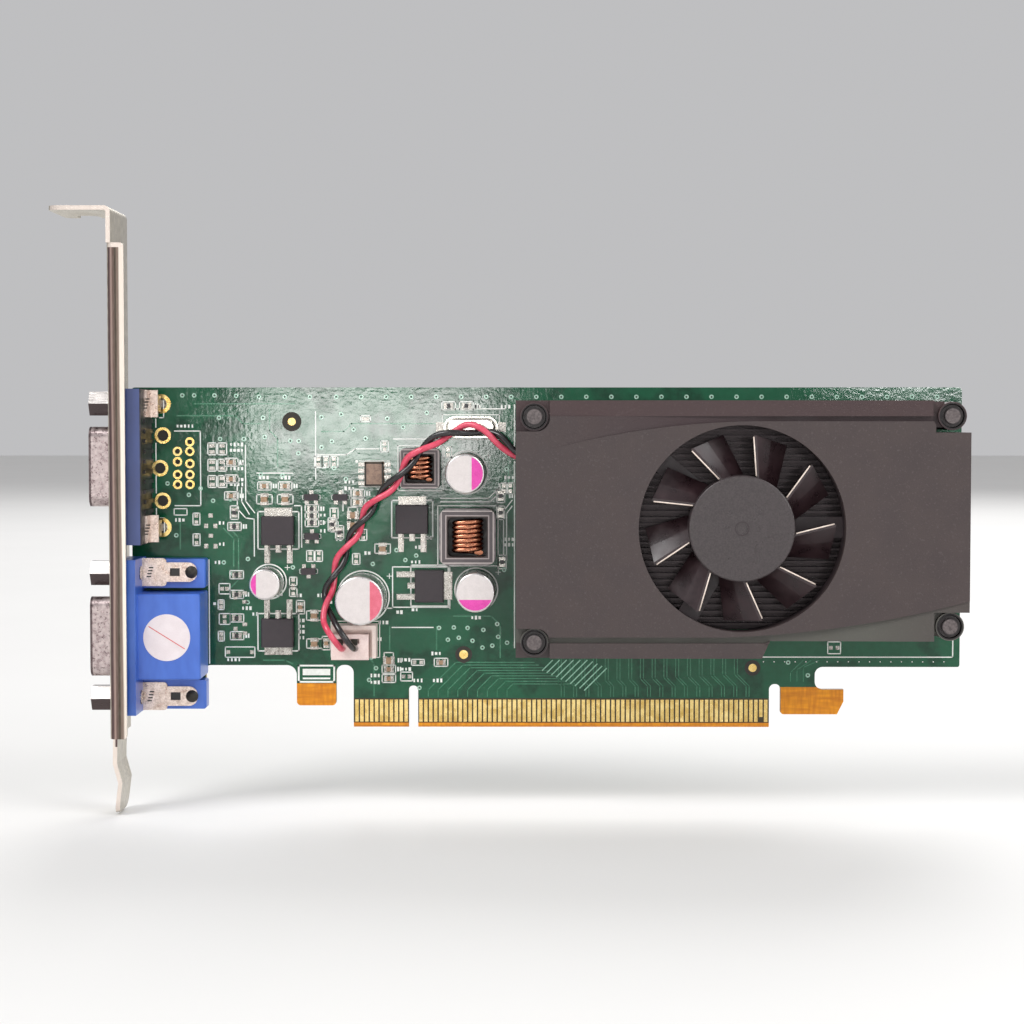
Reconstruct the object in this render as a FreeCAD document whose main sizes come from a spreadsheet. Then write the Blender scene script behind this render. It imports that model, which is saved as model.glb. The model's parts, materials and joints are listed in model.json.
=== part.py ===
import FreeCAD, Part

import math
import os
import re

import Sketcher

# Graphics card on a low-profile board with a full-height slot bracket, millimetres.
#
# Row frame: +X along the card, away from the bracket; +Z up the card, edge contacts at the
# bottom; the component side faces -Y.  The origin is the middle of the slot key notch, at the
# bottom of the edge tongue, half way through the board.
#
# Every sub-part is drawn lying down: x along the card, y up the card's height, z out of the
# component side.  UPRIGHT, the Placement of each finished sub-part, stands it up.

DIMS = {
    # printed circuit board
    "board_half": 0.785,
    "board_left": -56.95,
    "board_right": 110.70,
    "board_top": 68.90,
    "foot_right": -42.20,
    "foot_bottom": 4.40,
    "lower_edge": 12.60,
    "tab_left": -23.70,
    "tab_right": -15.70,
    "tab_bottom": 4.40,
    "tongue_left": -12.15,
    "tongue_right": 72.15,
    "tongue_slot_top": 12.65,
    "key_half": 0.95,
    "key_top": 8.45,
    "hook_left": 74.50,
    "hook_slot_top": 8.80,
    "hook_bottom": 2.65,
    "hook_right": 87.25,
    "hook_top": 7.70,
    "hook_chamfer": 1.30,
    "neck_right": 81.40,
    "right_edge": 12.30,
    "tongue_bevel": 0.40,
    # edge contacts
    "contact_pitch": 1.00,
    "contact_width": 0.70,
    "contact_foot": 1.10,
    "contact_top": 5.60,
    "contact_plate": 0.04,
    # slot bracket
    "bracket_face": -59.05,
    "sheet": 0.86,
    "bend": 0.40,
    "bracket_back": -2.90,
    "bracket_front": 15.50,
    "bracket_top": 104.10,
    "flange_top": 96.90,
    "flange_foot": -0.40,
    "flange_edge": -55.60,
    "tab_reach": 11.40,
    "tab_slot": 4.42,
    "leg_back": 1.40,
    "leg_front": 11.60,
    # video connectors
    "upper_y": 53.10,
    "lower_y": 19.35,
    "port_z": 7.03,
    "port_half": 15.40,
    "port_top": 13.28,
    "shell_tip": -63.60,
    "shell_wall": 0.45,
    "shell_half": 8.16,
    "shell_rise": 3.95,
    "plate_sheet": 0.60,
    "screw_offset": 12.495,
    "hex_flats": 4.75,
    "hex_length": 4.80,
    "screw_bore": 1.42,
    "screw_bore_depth": 4.40,
    "contact_rod": 0.45,
    "tail_half": 0.28,
    # cooler
    "cover_left": 20.80,
    "cover_right": 110.00,
    "cover_bottom": 15.40,
    "cover_top": 66.20,
    "skirt": 4.60,
    "cavity_top": 11.80,
    "corner_top": 12.20,
    "rail_z": 13.60,
    "plateau_z": 14.00,
    "wedge_depth": 1.20,
    "wall": 1.20,
    "fan_x": 65.30,
    "fan_y": 41.00,
    "fan_opening": 20.35,
    "well_bore": 2.35,
    "well_ring": 2.80,
    "well_top": 13.20,
    "base_bottom": 2.95,
    "base_top": 4.40,
    "fin_top": 11.20,
    "fin_low": 6.40,
    "fin_pitch": 1.25,
    "fin_width": 0.45,
    "fin_first": 21.30,
    "fin_left": 33.00,
    "fin_right": 101.00,
    "fan_pocket": 24.00,
    # fan
    "frame_z": 6.60,
    "frame_sheet": 1.00,
    "frame_outer": 21.40,
    "frame_inner": 20.60,
    "strut": 4.20,
    "motor_disc": 10.20,
    "hub": 10.50,
    "hub_wall": 0.80,
    "hub_foot": 8.30,
    "hub_top": 13.40,
    "shaft": 1.00,
    "bearing": 2.60,
    "bearing_gap": 0.03,
    "blade_tip": 18.30,
    "blade_root": 10.00,
    "blade_top": 12.90,
    "blade_foot": 8.70,
    "blade_sheet": 0.55,
    # push pins
    "pin_nub": 1.60,
    "pin_flange": 2.20,
    "pin_shank": 1.20,
    "pin_hole": 1.50,
    "pin_head_z": 12.00,
    "pin_tip_z": -4.20,
    "spring_wire": 0.20,
    "spring_mean": 1.90,
    # parts on the board
    "wire": 1.25,
}

ALIAS = re.compile(r"\b(" + "|".join(DIMS) + r")\b")

doc = FreeCAD.newDocument("graphics_card")
sheet = doc.addObject("Spreadsheet::Sheet", "dims")
for row, (alias, number) in enumerate(DIMS.items(), 1):
    sheet.set(f"A{row}", alias.replace("_", " "))
    sheet.set(f"B{row}", str(number))
    sheet.setAlias(f"B{row}", alias)
doc.recompute()

UPRIGHT = FreeCAD.Placement(FreeCAD.Vector(0, 0, 0), FreeCAD.Rotation(FreeCAD.Vector(1, 0, 0), 90))
VERTICAL = FreeCAD.Vector(0, 0, 1)
TURN = {
    "x": FreeCAD.Rotation(FreeCAD.Vector(0, 1, 0), 90),
    "y": FreeCAD.Rotation(FreeCAD.Vector(1, 0, 0), -90),
    "z": FreeCAD.Rotation(),
}
PLANES = {
    "xy": FreeCAD.Rotation(),
    "xz": FreeCAD.Rotation(FreeCAD.Vector(1, 0, 0), 90),
    "yz": FreeCAD.Rotation(FreeCAD.Vector(1, 1, 1), 120),
}
AXES = {
    "x": FreeCAD.Vector(1, 0, 0),
    "y": FreeCAD.Vector(0, 1, 0),
    "z": FreeCAD.Vector(0, 0, 1),
}
NORMALS = {"xy": "z", "xz": "y", "yz": "x"}

pieces = []


# ---- sizes and formulas -------------------------------------------------------------------


def formula(value):
    """A number or a formula of the sheet's aliases, as FreeCAD writes it."""
    return ALIAS.sub(r"dims.\1", str(value))


def size(value):
    """The number that a formula of the sheet's aliases stands for."""
    numbers = ALIAS.sub(lambda found: f"({DIMS[found[0]]})", str(value))
    return FreeCAD.Units.Quantity(numbers).Value


def bind(thing, path, value):
    """Bind a property of a document object to the sheet."""
    thing.setExpression(path, formula(value))


def bind_base(thing, at):
    for axis, value in zip("xyz", at):
        bind(thing, f"Placement.Base.{axis}", value)


# ---- solids -------------------------------------------------------------------------------


def box(name, low, sides):
    """A box from its low corner and its three sides."""
    solid = doc.addObject("Part::Box", name)
    for prop, value in zip(("Length", "Width", "Height"), sides):
        bind(solid, prop, value)
    bind_base(solid, low)
    return solid


def span(name, low, high):
    """A box between two corners."""
    return box(name, low, [f"({b}) - ({a})" for a, b in zip(low, high)])


def rod(name, at, radius, length, axis="z"):
    """A cylinder from the middle of its first face, along one axis."""
    solid = doc.addObject("Part::Cylinder", name)
    solid.Placement.Rotation = TURN[axis]
    bind(solid, "Radius", radius)
    bind(solid, "Height", length)
    bind_base(solid, at)
    return solid


def cone(name, at, radius, end_radius, length):
    """A cone along z, from its first face."""
    solid = doc.addObject("Part::Cone", name)
    bind(solid, "Radius1", radius)
    bind(solid, "Radius2", end_radius)
    bind(solid, "Height", length)
    bind_base(solid, at)
    return solid


def fuse(name, *solids):
    """One solid from several."""
    whole = doc.addObject("Part::MultiFuse", name)
    whole.Shapes = list(solids)
    whole.Refine = True
    return whole


def group(name, *solids):
    """Separate solids that share one node."""
    whole = doc.addObject("Part::Compound", name)
    whole.Links = list(solids)
    return whole


def cut(name, base, *tools):
    """A solid with other solids taken out of it."""
    result = doc.addObject("Part::Cut", name)
    result.Base = base
    result.Tool = tools[0] if len(tools) == 1 else group(name + "_tools", *tools)
    result.Refine = True
    return result


def common(name, one, other):
    """What two solids share."""
    result = doc.addObject("Part::Common", name)
    result.Base = one
    result.Tool = other
    return result


def rounded(name, base, picks):
    """Fillet the edges that each (test, radius) pair picks by their middle point."""
    doc.recompute()
    result = doc.addObject("Part::Fillet", name)
    result.Base = base
    edges = []
    for number, edge in enumerate(base.Shape.Edges, 1):
        middle = edge.valueAt((edge.FirstParameter + edge.LastParameter) / 2)
        for test, radius in picks:
            if test(edge, middle):
                edges.append((number, radius, radius))
                break
    if not edges:
        raise RuntimeError(f"{name} rounds nothing")
    result.Edges = edges
    return result


def along(axis):
    """Test for straight edges along one axis."""
    direction = AXES[axis]

    def test(edge, middle):
        if len(edge.Vertexes) != 2 or edge.Curve.TypeId != "Part::GeomLine":
            return False
        run = edge.Vertexes[1].Point - edge.Vertexes[0].Point
        return run.cross(direction).Length < 1e-6

    return test


def near(x=None, y=None, z=None, reach=0.05):
    """Test for edges whose middle is at the given coordinates."""

    def test(edge, middle):
        wanted = zip((x, y, z), (middle.x, middle.y, middle.z))
        return all(goal is None or abs(goal - found) < reach for goal, found in wanted)

    return test


def draw(sketch, points):
    """Draw a closed outline in a sketch and tie each corner to the sheet.

    A point is (x, y), reached by a straight run, or (x, y, via x, via y), reached by an arc
    through the second pair.
    """
    spots = [FreeCAD.Vector(size(p[0]), size(p[1]), 0) for p in points]
    count = len(points)
    ends = []
    for index, start in enumerate(spots):
        target = points[(index + 1) % count]
        finish = spots[(index + 1) % count]
        if len(target) == 2:
            sketch.addGeometry(Part.LineSegment(start, finish), False)
            ends.append((1, 2))
            continue
        via = FreeCAD.Vector(size(target[2]), size(target[3]), 0)
        arc = sketch.addGeometry(Part.Arc(start, via, finish), False)
        counter_clockwise = (via - start).cross(finish - via).z > 0
        ends.append((1, 2) if counter_clockwise else (2, 1))
        centre = sketch.Geometry[arc].Center
        chord = finish - start
        if abs(chord.y) > abs(chord.x):
            sketch.addConstraint(Sketcher.Constraint("DistanceX", -1, 1, arc, 3, centre.x))
        else:
            sketch.addConstraint(Sketcher.Constraint("DistanceY", -1, 1, arc, 3, centre.y))
    for index, point in enumerate(points):
        following = (index + 1) % count
        joint = (index, ends[index][1], following, ends[following][0])
        sketch.addConstraint(Sketcher.Constraint("Coincident", *joint))
        for kind, value, number in zip(("DistanceX", "DistanceY"), point, spots[index]):
            corner = (-1, 1, index, ends[index][0], number)
            tie = sketch.addConstraint(Sketcher.Constraint(kind, *corner))
            bind(sketch, f"Constraints[{tie}]", value)


def circles(sketch, places):
    """Draw circles in a sketch at (x, y, radius)."""
    for x, y, radius in places:
        centre = FreeCAD.Vector(size(x), size(y), 0)
        index = sketch.addGeometry(Part.Circle(centre, VERTICAL, size(radius)), False)
        for kind, value, number in (("DistanceX", x, centre.x), ("DistanceY", y, centre.y)):
            tie = sketch.addConstraint(Sketcher.Constraint(kind, -1, 1, index, 3, number))
            bind(sketch, f"Constraints[{tie}]", value)
        tie = sketch.addConstraint(Sketcher.Constraint("Radius", index, size(radius)))
        bind(sketch, f"Constraints[{tie}]", radius)


def prism(name, points, start, length, plane="xy"):
    """Extrude an outline drawn in a plane, from a height along that plane's axis."""
    sketch = doc.addObject("Sketcher::SketchObject", name + "_outline")
    draw(sketch, points)
    axis = NORMALS[plane]
    sketch.Placement = FreeCAD.Placement(AXES[axis] * size(start), PLANES[plane])
    bind(sketch, f"Placement.Base.{axis}", start)
    solid = doc.addObject("Part::Extrusion", name)
    solid.Base = sketch
    solid.DirMode = "Custom"
    solid.Dir = AXES[axis]
    solid.Solid = True
    bind(solid, "LengthFwd", length)
    return solid


def origin_plane(body, role):
    return next(f for f in body.Origin.OriginFeatures if f.Role == role)


def body_sketch(body, name, height):
    """A sketch on a body's own XY plane, lifted to a height."""
    sketch = body.newObject("Sketcher::SketchObject", name)
    sketch.AttachmentSupport = (origin_plane(body, "XY_Plane"), [""])
    sketch.MapMode = "FlatFace"
    bind(sketch, "AttachmentOffset.Base.z", height)
    return sketch


def pad(body, sketch, length):
    """Raise a sketch towards +z."""
    feature = body.newObject("PartDesign::Pad", sketch.Name + "_pad")
    feature.Profile = sketch
    bind(feature, "Length", length)
    return feature


def pocket(body, sketch, depth):
    """Cut a sketch away towards -z, and make sure that it cut something."""
    doc.recompute()
    before = body.Shape.Volume
    feature = body.newObject("PartDesign::Pocket", sketch.Name + "_pocket")
    feature.Profile = sketch
    bind(feature, "Length", depth)
    doc.recompute()
    if body.Shape.Volume >= before:
        raise RuntimeError(f"{feature.Name} cuts nothing")
    return feature


def finish(label, solid):
    """Give a finished sub-part its name and stand it up."""
    solid.Label = label
    solid.Placement = UPRIGHT
    pieces.append(solid)


def ring(start, step, count):
    return [start + step * index for index in range(count)]


# ---- shapes that several sub-parts share ----------------------------------------------------


def dee(name, centre, half, rise, start, length, radius):
    """The D outline of a video connector, wide side away from the board, along x."""
    lean = 0.9
    low = f"port_z - ({rise})"
    high = f"port_z + ({rise})"
    outline = [
        (f"{centre} - ({half}) + {lean}", low),
        (f"{centre} + ({half}) - {lean}", low),
        (f"{centre} + ({half})", high),
        (f"{centre} - ({half})", high),
    ]
    solid = prism(name + "_sharp", outline, start, length, plane="yz")
    return rounded(name, solid, [(along("x"), radius)])


def helix(name, radius, pitch, turns, thickness):
    """A coil of round wire about z, standing on z = 0."""
    spine = doc.addObject("Part::Helix", name + "_spine")
    spine.Pitch = pitch
    spine.Height = pitch * turns
    spine.Radius = radius
    section = doc.addObject("Part::Circle", name + "_section")
    section.Radius = thickness
    lean = math.degrees(math.atan2(pitch, 2 * math.pi * radius))
    turn = FreeCAD.Rotation(FreeCAD.Vector(1, 0, 0), 90 + lean)
    section.Placement = FreeCAD.Placement(FreeCAD.Vector(radius, 0, 0), turn)
    coil = doc.addObject("Part::Sweep", name)
    coil.Sections = [section]
    coil.Spine = (spine, [])
    coil.Solid = True
    coil.Frenet = True
    return coil


def moved(name, solid, at, turn=FreeCAD.Rotation()):
    """One solid put somewhere else, turned first."""
    holder = group(name, solid)
    holder.Placement.Rotation = turn
    bind_base(holder, at)
    return holder


def tube(points, diameter):
    """A cord along straight runs joined by tangent arcs, and its tightest radius."""
    points = [FreeCAD.Vector(*p) for p in points]
    edges = []
    last = points[0]
    length = 0.0
    tightest = 1e9
    for before, corner, after in zip(points, points[1:], points[2:]):
        back = before - corner
        ahead = after - corner
        reach = 0.45 * min(back.Length, ahead.Length)
        back.normalize()
        ahead.normalize()
        turn = math.pi - back.getAngle(ahead)
        radius = reach / math.tan(turn / 2)
        tightest = min(tightest, radius)
        middle = (back + ahead).normalize() * (radius / math.cos(turn / 2) - radius)
        start = corner + back * reach
        finish_point = corner + ahead * reach
        edges.append(Part.LineSegment(last, start).toShape())
        edges.append(Part.Arc(start, corner + middle, finish_point).toShape())
        length += (start - last).Length + radius * turn
        last = finish_point
    edges.append(Part.LineSegment(last, points[-1]).toShape())
    length += (points[-1] - last).Length
    path = Part.Wire(edges)
    heading = points[1] - points[0]
    section = Part.Wire(Part.Circle(points[0], heading, diameter / 2).toShape())
    solid = path.makePipeShell([section], True, False)
    share = solid.Volume / (math.pi * diameter**2 / 4 * length)
    print(f"cord {length:.1f} mm, tightest radius {tightest:.2f} mm, volume share {share:.4f}")
    return solid


# ---- printed circuit board ------------------------------------------------------------------

PIN_PLACES = [(24.45, 63.00), (106.45, 63.15), (24.45, 18.50), (106.25, 21.70)]
SOCKET_HOLES = [(-50.60, 59.20), (-51.20, 52.60), (-50.70, 46.00)]
SMALL_HOLES_NEAR = [56.00, 53.90, 51.30, 49.30]
SMALL_HOLES_FAR = [57.90, 56.00, 53.50, 51.30, 49.30]
HEADER_PINS = [(-13.80, 16.70), (-11.26, 16.70)]
UPPER_ROWS = (-55.60, -54.60, -53.60)
LOWER_ROWS = (-48.50, -46.00, -43.80)
UPPER_LEG = -50.90
LOWER_LEG = -45.60
ROW_PITCH = 1.98
CONTACT_STEP = 2.29


def contact_ys(centre, row):
    """Five contact heights up the card in one row of a connector; the middle row is offset."""
    shift = 0.5 if row == 1 else -0.5
    return [f"{centre} + {(index - 2) * CONTACT_STEP + shift * CONTACT_STEP / 2}" for index in range(5)]


def tail_places(centre, rows):
    return [(x, y) for row, x in enumerate(rows) for y in contact_ys(centre, row)]


def board_holes():
    holes = [(x, y, "pin_hole + 0.10") for x, y in PIN_PLACES]
    holes += [(x, y, 1.10) for x, y in SOCKET_HOLES]
    holes += [(-47.65, y, 0.50) for y in SMALL_HOLES_NEAR]
    holes += [(-45.15, y, 0.50) for y in SMALL_HOLES_FAR]
    holes += [(x, y, 0.55) for x, y in HEADER_PINS]
    holes += [(x, y, 0.42) for x, y in lead_places()]
    holes += [(x, y, 0.42) for x, y in tail_places("upper_y", UPPER_ROWS)]
    holes += [(x, y, 0.42) for x, y in tail_places("lower_y", LOWER_ROWS)]
    for side in (-1, 1):
        holes.append((UPPER_LEG, f"upper_y + {side} * screw_offset", 1.15))
        holes.append((LOWER_LEG, f"lower_y + {side} * screw_offset", 1.15))
    return holes


def build_pcb():
    body = doc.addObject("PartDesign::Body", "pcb_body")
    outline = body_sketch(body, "board_outline", "-board_half")
    draw(
        outline,
        [
            ("board_left", "foot_bottom"),
            ("foot_right", "foot_bottom"),
            ("foot_right", "lower_edge"),
            ("tab_left", "lower_edge"),
            ("tab_left", "tab_bottom"),
            ("tab_right", "tab_bottom"),
            ("tab_right", "tongue_slot_top"),
            ("tongue_left", "tongue_slot_top"),
            ("tongue_left", 0),
            ("-key_half", 0),
            ("-key_half", "key_top"),
            ("key_half", "key_top"),
            ("key_half", 0),
            ("tongue_right", 0),
            ("tongue_right", "hook_slot_top"),
            ("hook_left", "hook_slot_top"),
            ("hook_left", "hook_bottom"),
            ("hook_right - hook_chamfer", "hook_bottom"),
            ("hook_right", "hook_bottom + 2 * hook_chamfer"),
            ("hook_right", "hook_top"),
            ("neck_right", "hook_top"),
            ("neck_right", "right_edge"),
            ("board_right", "right_edge"),
            ("board_right", "board_top"),
            ("board_left", "board_top"),
        ],
    )
    pad(body, outline, "2 * board_half")
    holes = body_sketch(body, "board_holes", "board_half")
    circles(holes, board_holes())
    pocket(body, holes, "3 * board_half")
    corners = {
        ("tab_left", "lower_edge"): 2.0,
        ("tab_left", "tab_bottom"): 0.8,
        ("tab_right", "tab_bottom"): 0.8,
        ("tab_right", "tongue_slot_top"): 1.6,
        ("tongue_left", "tongue_slot_top"): 1.6,
        ("-key_half", "key_top"): 0.9,
        ("key_half", "key_top"): 0.9,
        ("tongue_right", "hook_slot_top"): 1.1,
        ("hook_left", "hook_slot_top"): 1.1,
        ("hook_left", "hook_bottom"): 0.6,
        ("neck_right", "hook_top"): 1.6,
        ("neck_right", "right_edge"): 1.6,
        ("foot_right", "lower_edge"): 1.0,
        ("board_right", "right_edge"): 0.5,
        ("board_right", "board_top"): 0.8,
        ("board_left", "board_top"): 0.8,
    }
    by_radius = {}
    for (x, y), radius in corners.items():
        by_radius.setdefault(radius, []).append((size(x), size(y)))
    for number, (radius, spots) in enumerate(by_radius.items()):
        edges = []
        for index, edge in enumerate(body.Shape.Edges, 1):
            middle = edge.valueAt((edge.FirstParameter + edge.LastParameter) / 2)
            upright = along("z")(edge, middle)
            if upright and any(near(x, y)(edge, middle) for x, y in spots):
                edges.append(f"Edge{index}")
        dressed = body.Tip
        fillet = body.newObject("PartDesign::Fillet", f"board_corner_{number}")
        fillet.Base = (dressed, edges)
        fillet.Radius = radius
        doc.recompute()
    bevelled = []
    for index, edge in enumerate(body.Shape.Edges, 1):
        middle = edge.valueAt((edge.FirstParameter + edge.LastParameter) / 2)
        if along("x")(edge, middle) and near(y=0)(edge, middle):
            bevelled.append(f"Edge{index}")
    dressed = body.Tip
    bevel = body.newObject("PartDesign::Chamfer", "tongue_bevels")
    bevel.Base = (dressed, bevelled)
    bind(bevel, "Size", "tongue_bevel")
    finish("pcb", body)


def build_edge_contacts():
    """82 contacts a side at one pitch, with three places lost to the key notch."""
    plates = []
    first_group = range(-11, 0)
    second_group = range(1, 72)
    for side, level in (("front", "board_half"), ("rear", "-board_half - contact_plate")):
        for step in [*first_group, *second_group]:
            middle = step + 0.5 if step > 0 else step - 0.5
            low = f"{middle} * contact_pitch - contact_width / 2"
            short = (side, step) in (("front", 70), ("rear", -11))
            foot = "contact_foot + 1" if short else "contact_foot"
            top = f"contact_top - ({foot})"
            name = f"contact_{side}_{step + 20}"
            plates.append(box(name, (low, foot, level), ("contact_width", top, "contact_plate")))
    finish("edge_contacts", group("edge_contacts_all", *plates))


# ---- slot bracket ---------------------------------------------------------------------------


def port_openings(name, centre):
    """The bracket's D window and its two screw holes for one connector."""
    window = dee(f"{name}_window", centre, 8.75, 4.55, "bracket_face - 1", "sheet + 2", 2.3)
    tools = [window]
    for side in (-1, 1):
        at = ("bracket_face - 1", f"{centre} + {side} * screw_offset", "port_z")
        tools.append(rod(f"{name}_screw_hole", at, 1.65, "sheet + 2", "x"))
    return tools


def build_bracket():
    """A pressed steel strip: tab at the top, flange down the component side, leg at the foot."""
    inner = "bracket_face + sheet"
    strip = prism(
        "bracket_strip",
        [
            ("bracket_face - tab_reach", "bracket_top - sheet"),
            ("bracket_face - bend", "bracket_top - sheet"),
            (
                "bracket_face",
                "bracket_top - sheet - bend",
                "bracket_face - 0.293 * bend",
                "bracket_top - sheet - 0.293 * bend",
            ),
            ("bracket_face", "flange_foot"),
            (inner, "flange_foot"),
            (inner, "bracket_top - sheet - bend"),
            (
                "bracket_face - bend",
                "bracket_top",
                "bracket_face - bend + 0.707 * (bend + sheet)",
                "bracket_top - sheet - bend + 0.707 * (bend + sheet)",
            ),
            ("bracket_face - tab_reach", "bracket_top"),
        ],
        "bracket_back",
        "bracket_front - bracket_back",
    )
    tab_end = near(x=size("bracket_face - tab_reach"))
    strip = rounded("bracket_strip_soft", strip, [(lambda e, m: along("y")(e, m) and tab_end(e, m), 2.0)])
    relief = span(
        "flange_relief",
        ("bracket_face - 1", "flange_foot - 1", "bracket_front - sheet - bend"),
        (f"{inner} + 1", "flange_top", "bracket_front + 1"),
    )
    flange = prism(
        "bracket_flange",
        [
            (
                "bracket_face",
                "bracket_front - sheet - bend",
                f"{inner} + bend - 0.707 * (bend + sheet)",
                "bracket_front - sheet - bend + 0.707 * (bend + sheet)",
            ),
            (inner, "bracket_front - sheet - bend"),
            (
                f"{inner} + bend",
                "bracket_front - sheet",
                f"{inner} + 0.293 * bend",
                "bracket_front - sheet - 0.293 * bend",
            ),
            ("flange_edge", "bracket_front - sheet"),
            ("flange_edge", "bracket_front"),
            (f"{inner} + bend", "bracket_front"),
        ],
        "flange_foot",
        "flange_top - flange_foot",
        plane="xz",
    )
    flange_end = near(x=size("flange_edge"))
    rounded_ends = [(lambda e, m: along("z")(e, m) and flange_end(e, m), 0.8)]
    flange = rounded("bracket_flange_soft", flange, rounded_ends)
    leg = prism(
        "bracket_leg",
        [
            ("bracket_face", "flange_foot + 0.5"),
            ("bracket_face - 0.15", "flange_foot - 5.5"),
            ("bracket_face + 0.90", "flange_foot - 9.4"),
            ("bracket_face + 0.15", -15.92),
            ("bracket_face + 0.15 + sheet", -15.80),
            ("bracket_face + 0.90 + sheet", "flange_foot - 9.3"),
            ("bracket_face - 0.15 + sheet", "flange_foot - 5.4"),
            (inner, "flange_foot + 0.5"),
        ],
        "leg_back",
        "leg_front - leg_back",
    )
    leg = rounded("bracket_leg_soft", leg, [(near(y=-15.86), 2.4)])
    slot = span(
        "tab_slot_cut",
        ("bracket_face - 6.30 - tab_slot / 2", "bracket_top - 2", "bracket_back - 1"),
        ("bracket_face - 6.30 + tab_slot / 2", "bracket_top + 1", "bracket_back + 3.2"),
    )
    at = ("bracket_face - 6.30", "bracket_top - 2", "bracket_back + 3.2")
    slot_end = rod("tab_slot_end", at, "tab_slot / 2", 4, "y")
    blank = fuse("bracket_blank", cut("bracket_relieved", strip, relief), flange, leg)
    tools = [slot, slot_end] + port_openings("upper", "upper_y") + port_openings("lower", "lower_y")
    finish("bracket", cut("bracket_cut", blank, *tools))


# ---- video connectors -----------------------------------------------------------------------


def insert_holes(name, centre, rows):
    """Contact channels through an insert: one rod per contact, from the mouth to its tail."""
    channels = []
    for row, x in enumerate(rows):
        z = f"port_z + {(row - 1) * ROW_PITCH}"
        for index, y in enumerate(contact_ys(centre, row)):
            at = ("shell_tip", y, z)
            channel = rod(f"{name}_channel_{row}_{index}", at, "contact_rod", f"{x} - shell_tip", "x")
            channels.append(channel)
    return channels


def build_contacts(name, label, centre, rows):
    """Fifteen contacts: a rod from behind the mouth, then a tail down through the board."""
    contacts = []
    for row, x in enumerate(rows):
        z = f"port_z + {(row - 1) * ROW_PITCH}"
        for index, y in enumerate(contact_ys(centre, row)):
            part = f"{name}_contact_{row}_{index}"
            reach = f"{x} - shell_tip - 1.2 + tail_half"
            barrel = rod(part + "_barrel", ("shell_tip + 1.2", y, z), "contact_rod", reach, "x")
            bore = rod(part + "_bore", ("shell_tip + 1", y, z), 0.28, 3, "x")
            tail = span(
                part + "_tail",
                (f"{x} - tail_half", f"{y} - tail_half", "-board_half - 1.5"),
                (f"{x} + tail_half", f"{y} + tail_half", z),
            )
            contacts.append(cut(part, fuse(part + "_blank", barrel, tail), bore))
    finish(label, group(name + "_contacts", *contacts))


def build_shell(name, label, centre):
    """The metal shell: a D sleeve out through the bracket and the plate behind it."""
    inner_wall = "bracket_face + sheet"
    depth = f"{inner_wall} - shell_tip"
    sleeve = dee(f"{name}_sleeve", centre, "shell_half", "shell_rise", "shell_tip", depth, 2.0)
    plate = span(
        f"{name}_plate",
        (inner_wall, f"{centre} - port_half", "board_half + 0.05"),
        (f"{inner_wall} + plate_sheet", f"{centre} + port_half", "port_top"),
    )
    opening = dee(
        f"{name}_mouth",
        centre,
        "shell_half - shell_wall",
        "shell_rise - shell_wall",
        "shell_tip - 1",
        f"{inner_wall} - shell_tip + 3",
        1.6,
    )
    tools = [opening]
    for side in (-1, 1):
        at = (inner_wall, f"{centre} + {side} * screw_offset", "port_z")
        tools.append(rod(f"{name}_plate_hole", at, 1.6, "plate_sheet", "x"))
    finish(label, cut(f"{name}_shell", fuse(f"{name}_shell_blank", sleeve, plate), *tools))


def build_insert(name, centre):
    """The blue tongue inside the shell, with clearance all round."""
    start = "shell_tip + 0.5"
    return dee(f"{name}_insert", centre, "shell_half - 0.65", "shell_rise - 0.65", start, "7", 1.4)


def screw_bores(name, centre, depth):
    """Holes behind the connector's face for the two jackscrew shanks."""
    bores = []
    for side in (-1, 1):
        at = ("bracket_face + sheet", f"{centre} + {side} * screw_offset", "port_z")
        bores.append(rod(f"{name}_shank_bore", at, 1.45, depth, "x"))
    return bores


def build_upper_connector():
    """The shallow connector: a face 4.6 mm deep whose contacts drop straight to the board."""
    front = "bracket_face + sheet + plate_sheet"
    rear = "-52.83"
    face = span(
        "upper_face",
        (front, "upper_y - port_half", "board_half"),
        (rear, "upper_y + port_half", "port_top"),
    )
    ribs = []
    for index, y in enumerate(ring(-9.0, 2.0, 10)):
        ribs.append(box(f"upper_rib_{index}", (rear, f"upper_y + {y} - 0.4", "board_half"), (0.35, 0.8, 9.5)))
    blank = fuse("upper_blank", face, build_insert("upper", "upper_y"), *ribs)
    tail_room = span(
        "upper_tail_room",
        ("-56.20", "upper_y - 6.2", "board_half - 1"),
        ("-53.20", "upper_y + 6.2", "port_z + 3.2"),
    )
    tools = [tail_room] + insert_holes("upper", "upper_y", UPPER_ROWS) + screw_bores("upper", "upper_y", 5.0)
    finish("vga_upper_housing", cut("upper_housing", blank, *tools))
    build_shell("upper", "vga_upper_shell", "upper_y")
    build_contacts("upper", "vga_upper_contacts", "upper_y", UPPER_ROWS)
    clips = []
    for index, side in enumerate((-1, 1)):
        y = f"upper_y + {side} * screw_offset"
        arm = box(f"upper_clip_arm_{index}", (rear, f"{y} - 2.7", 5.6), (2.15, 5.4, 0.5))
        knee = box(f"upper_clip_knee_{index}", (-51.18, f"{y} - 1.6", 2.4), (0.5, 3.2, 3.7))
        leg = box(f"upper_clip_leg_{index}", (-51.18, f"{y} - 0.7", -2.2), (0.5, 1.4, 4.6))
        back = box(f"upper_clip_back_{index}", (rear, f"{y} - 2.7", 5.6), (0.5, 5.4, 4.0))
        clips.append(fuse(f"upper_clip_{index}", arm, knee, leg, back))
    finish("vga_upper_clips", group("upper_clips", *clips))


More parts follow.
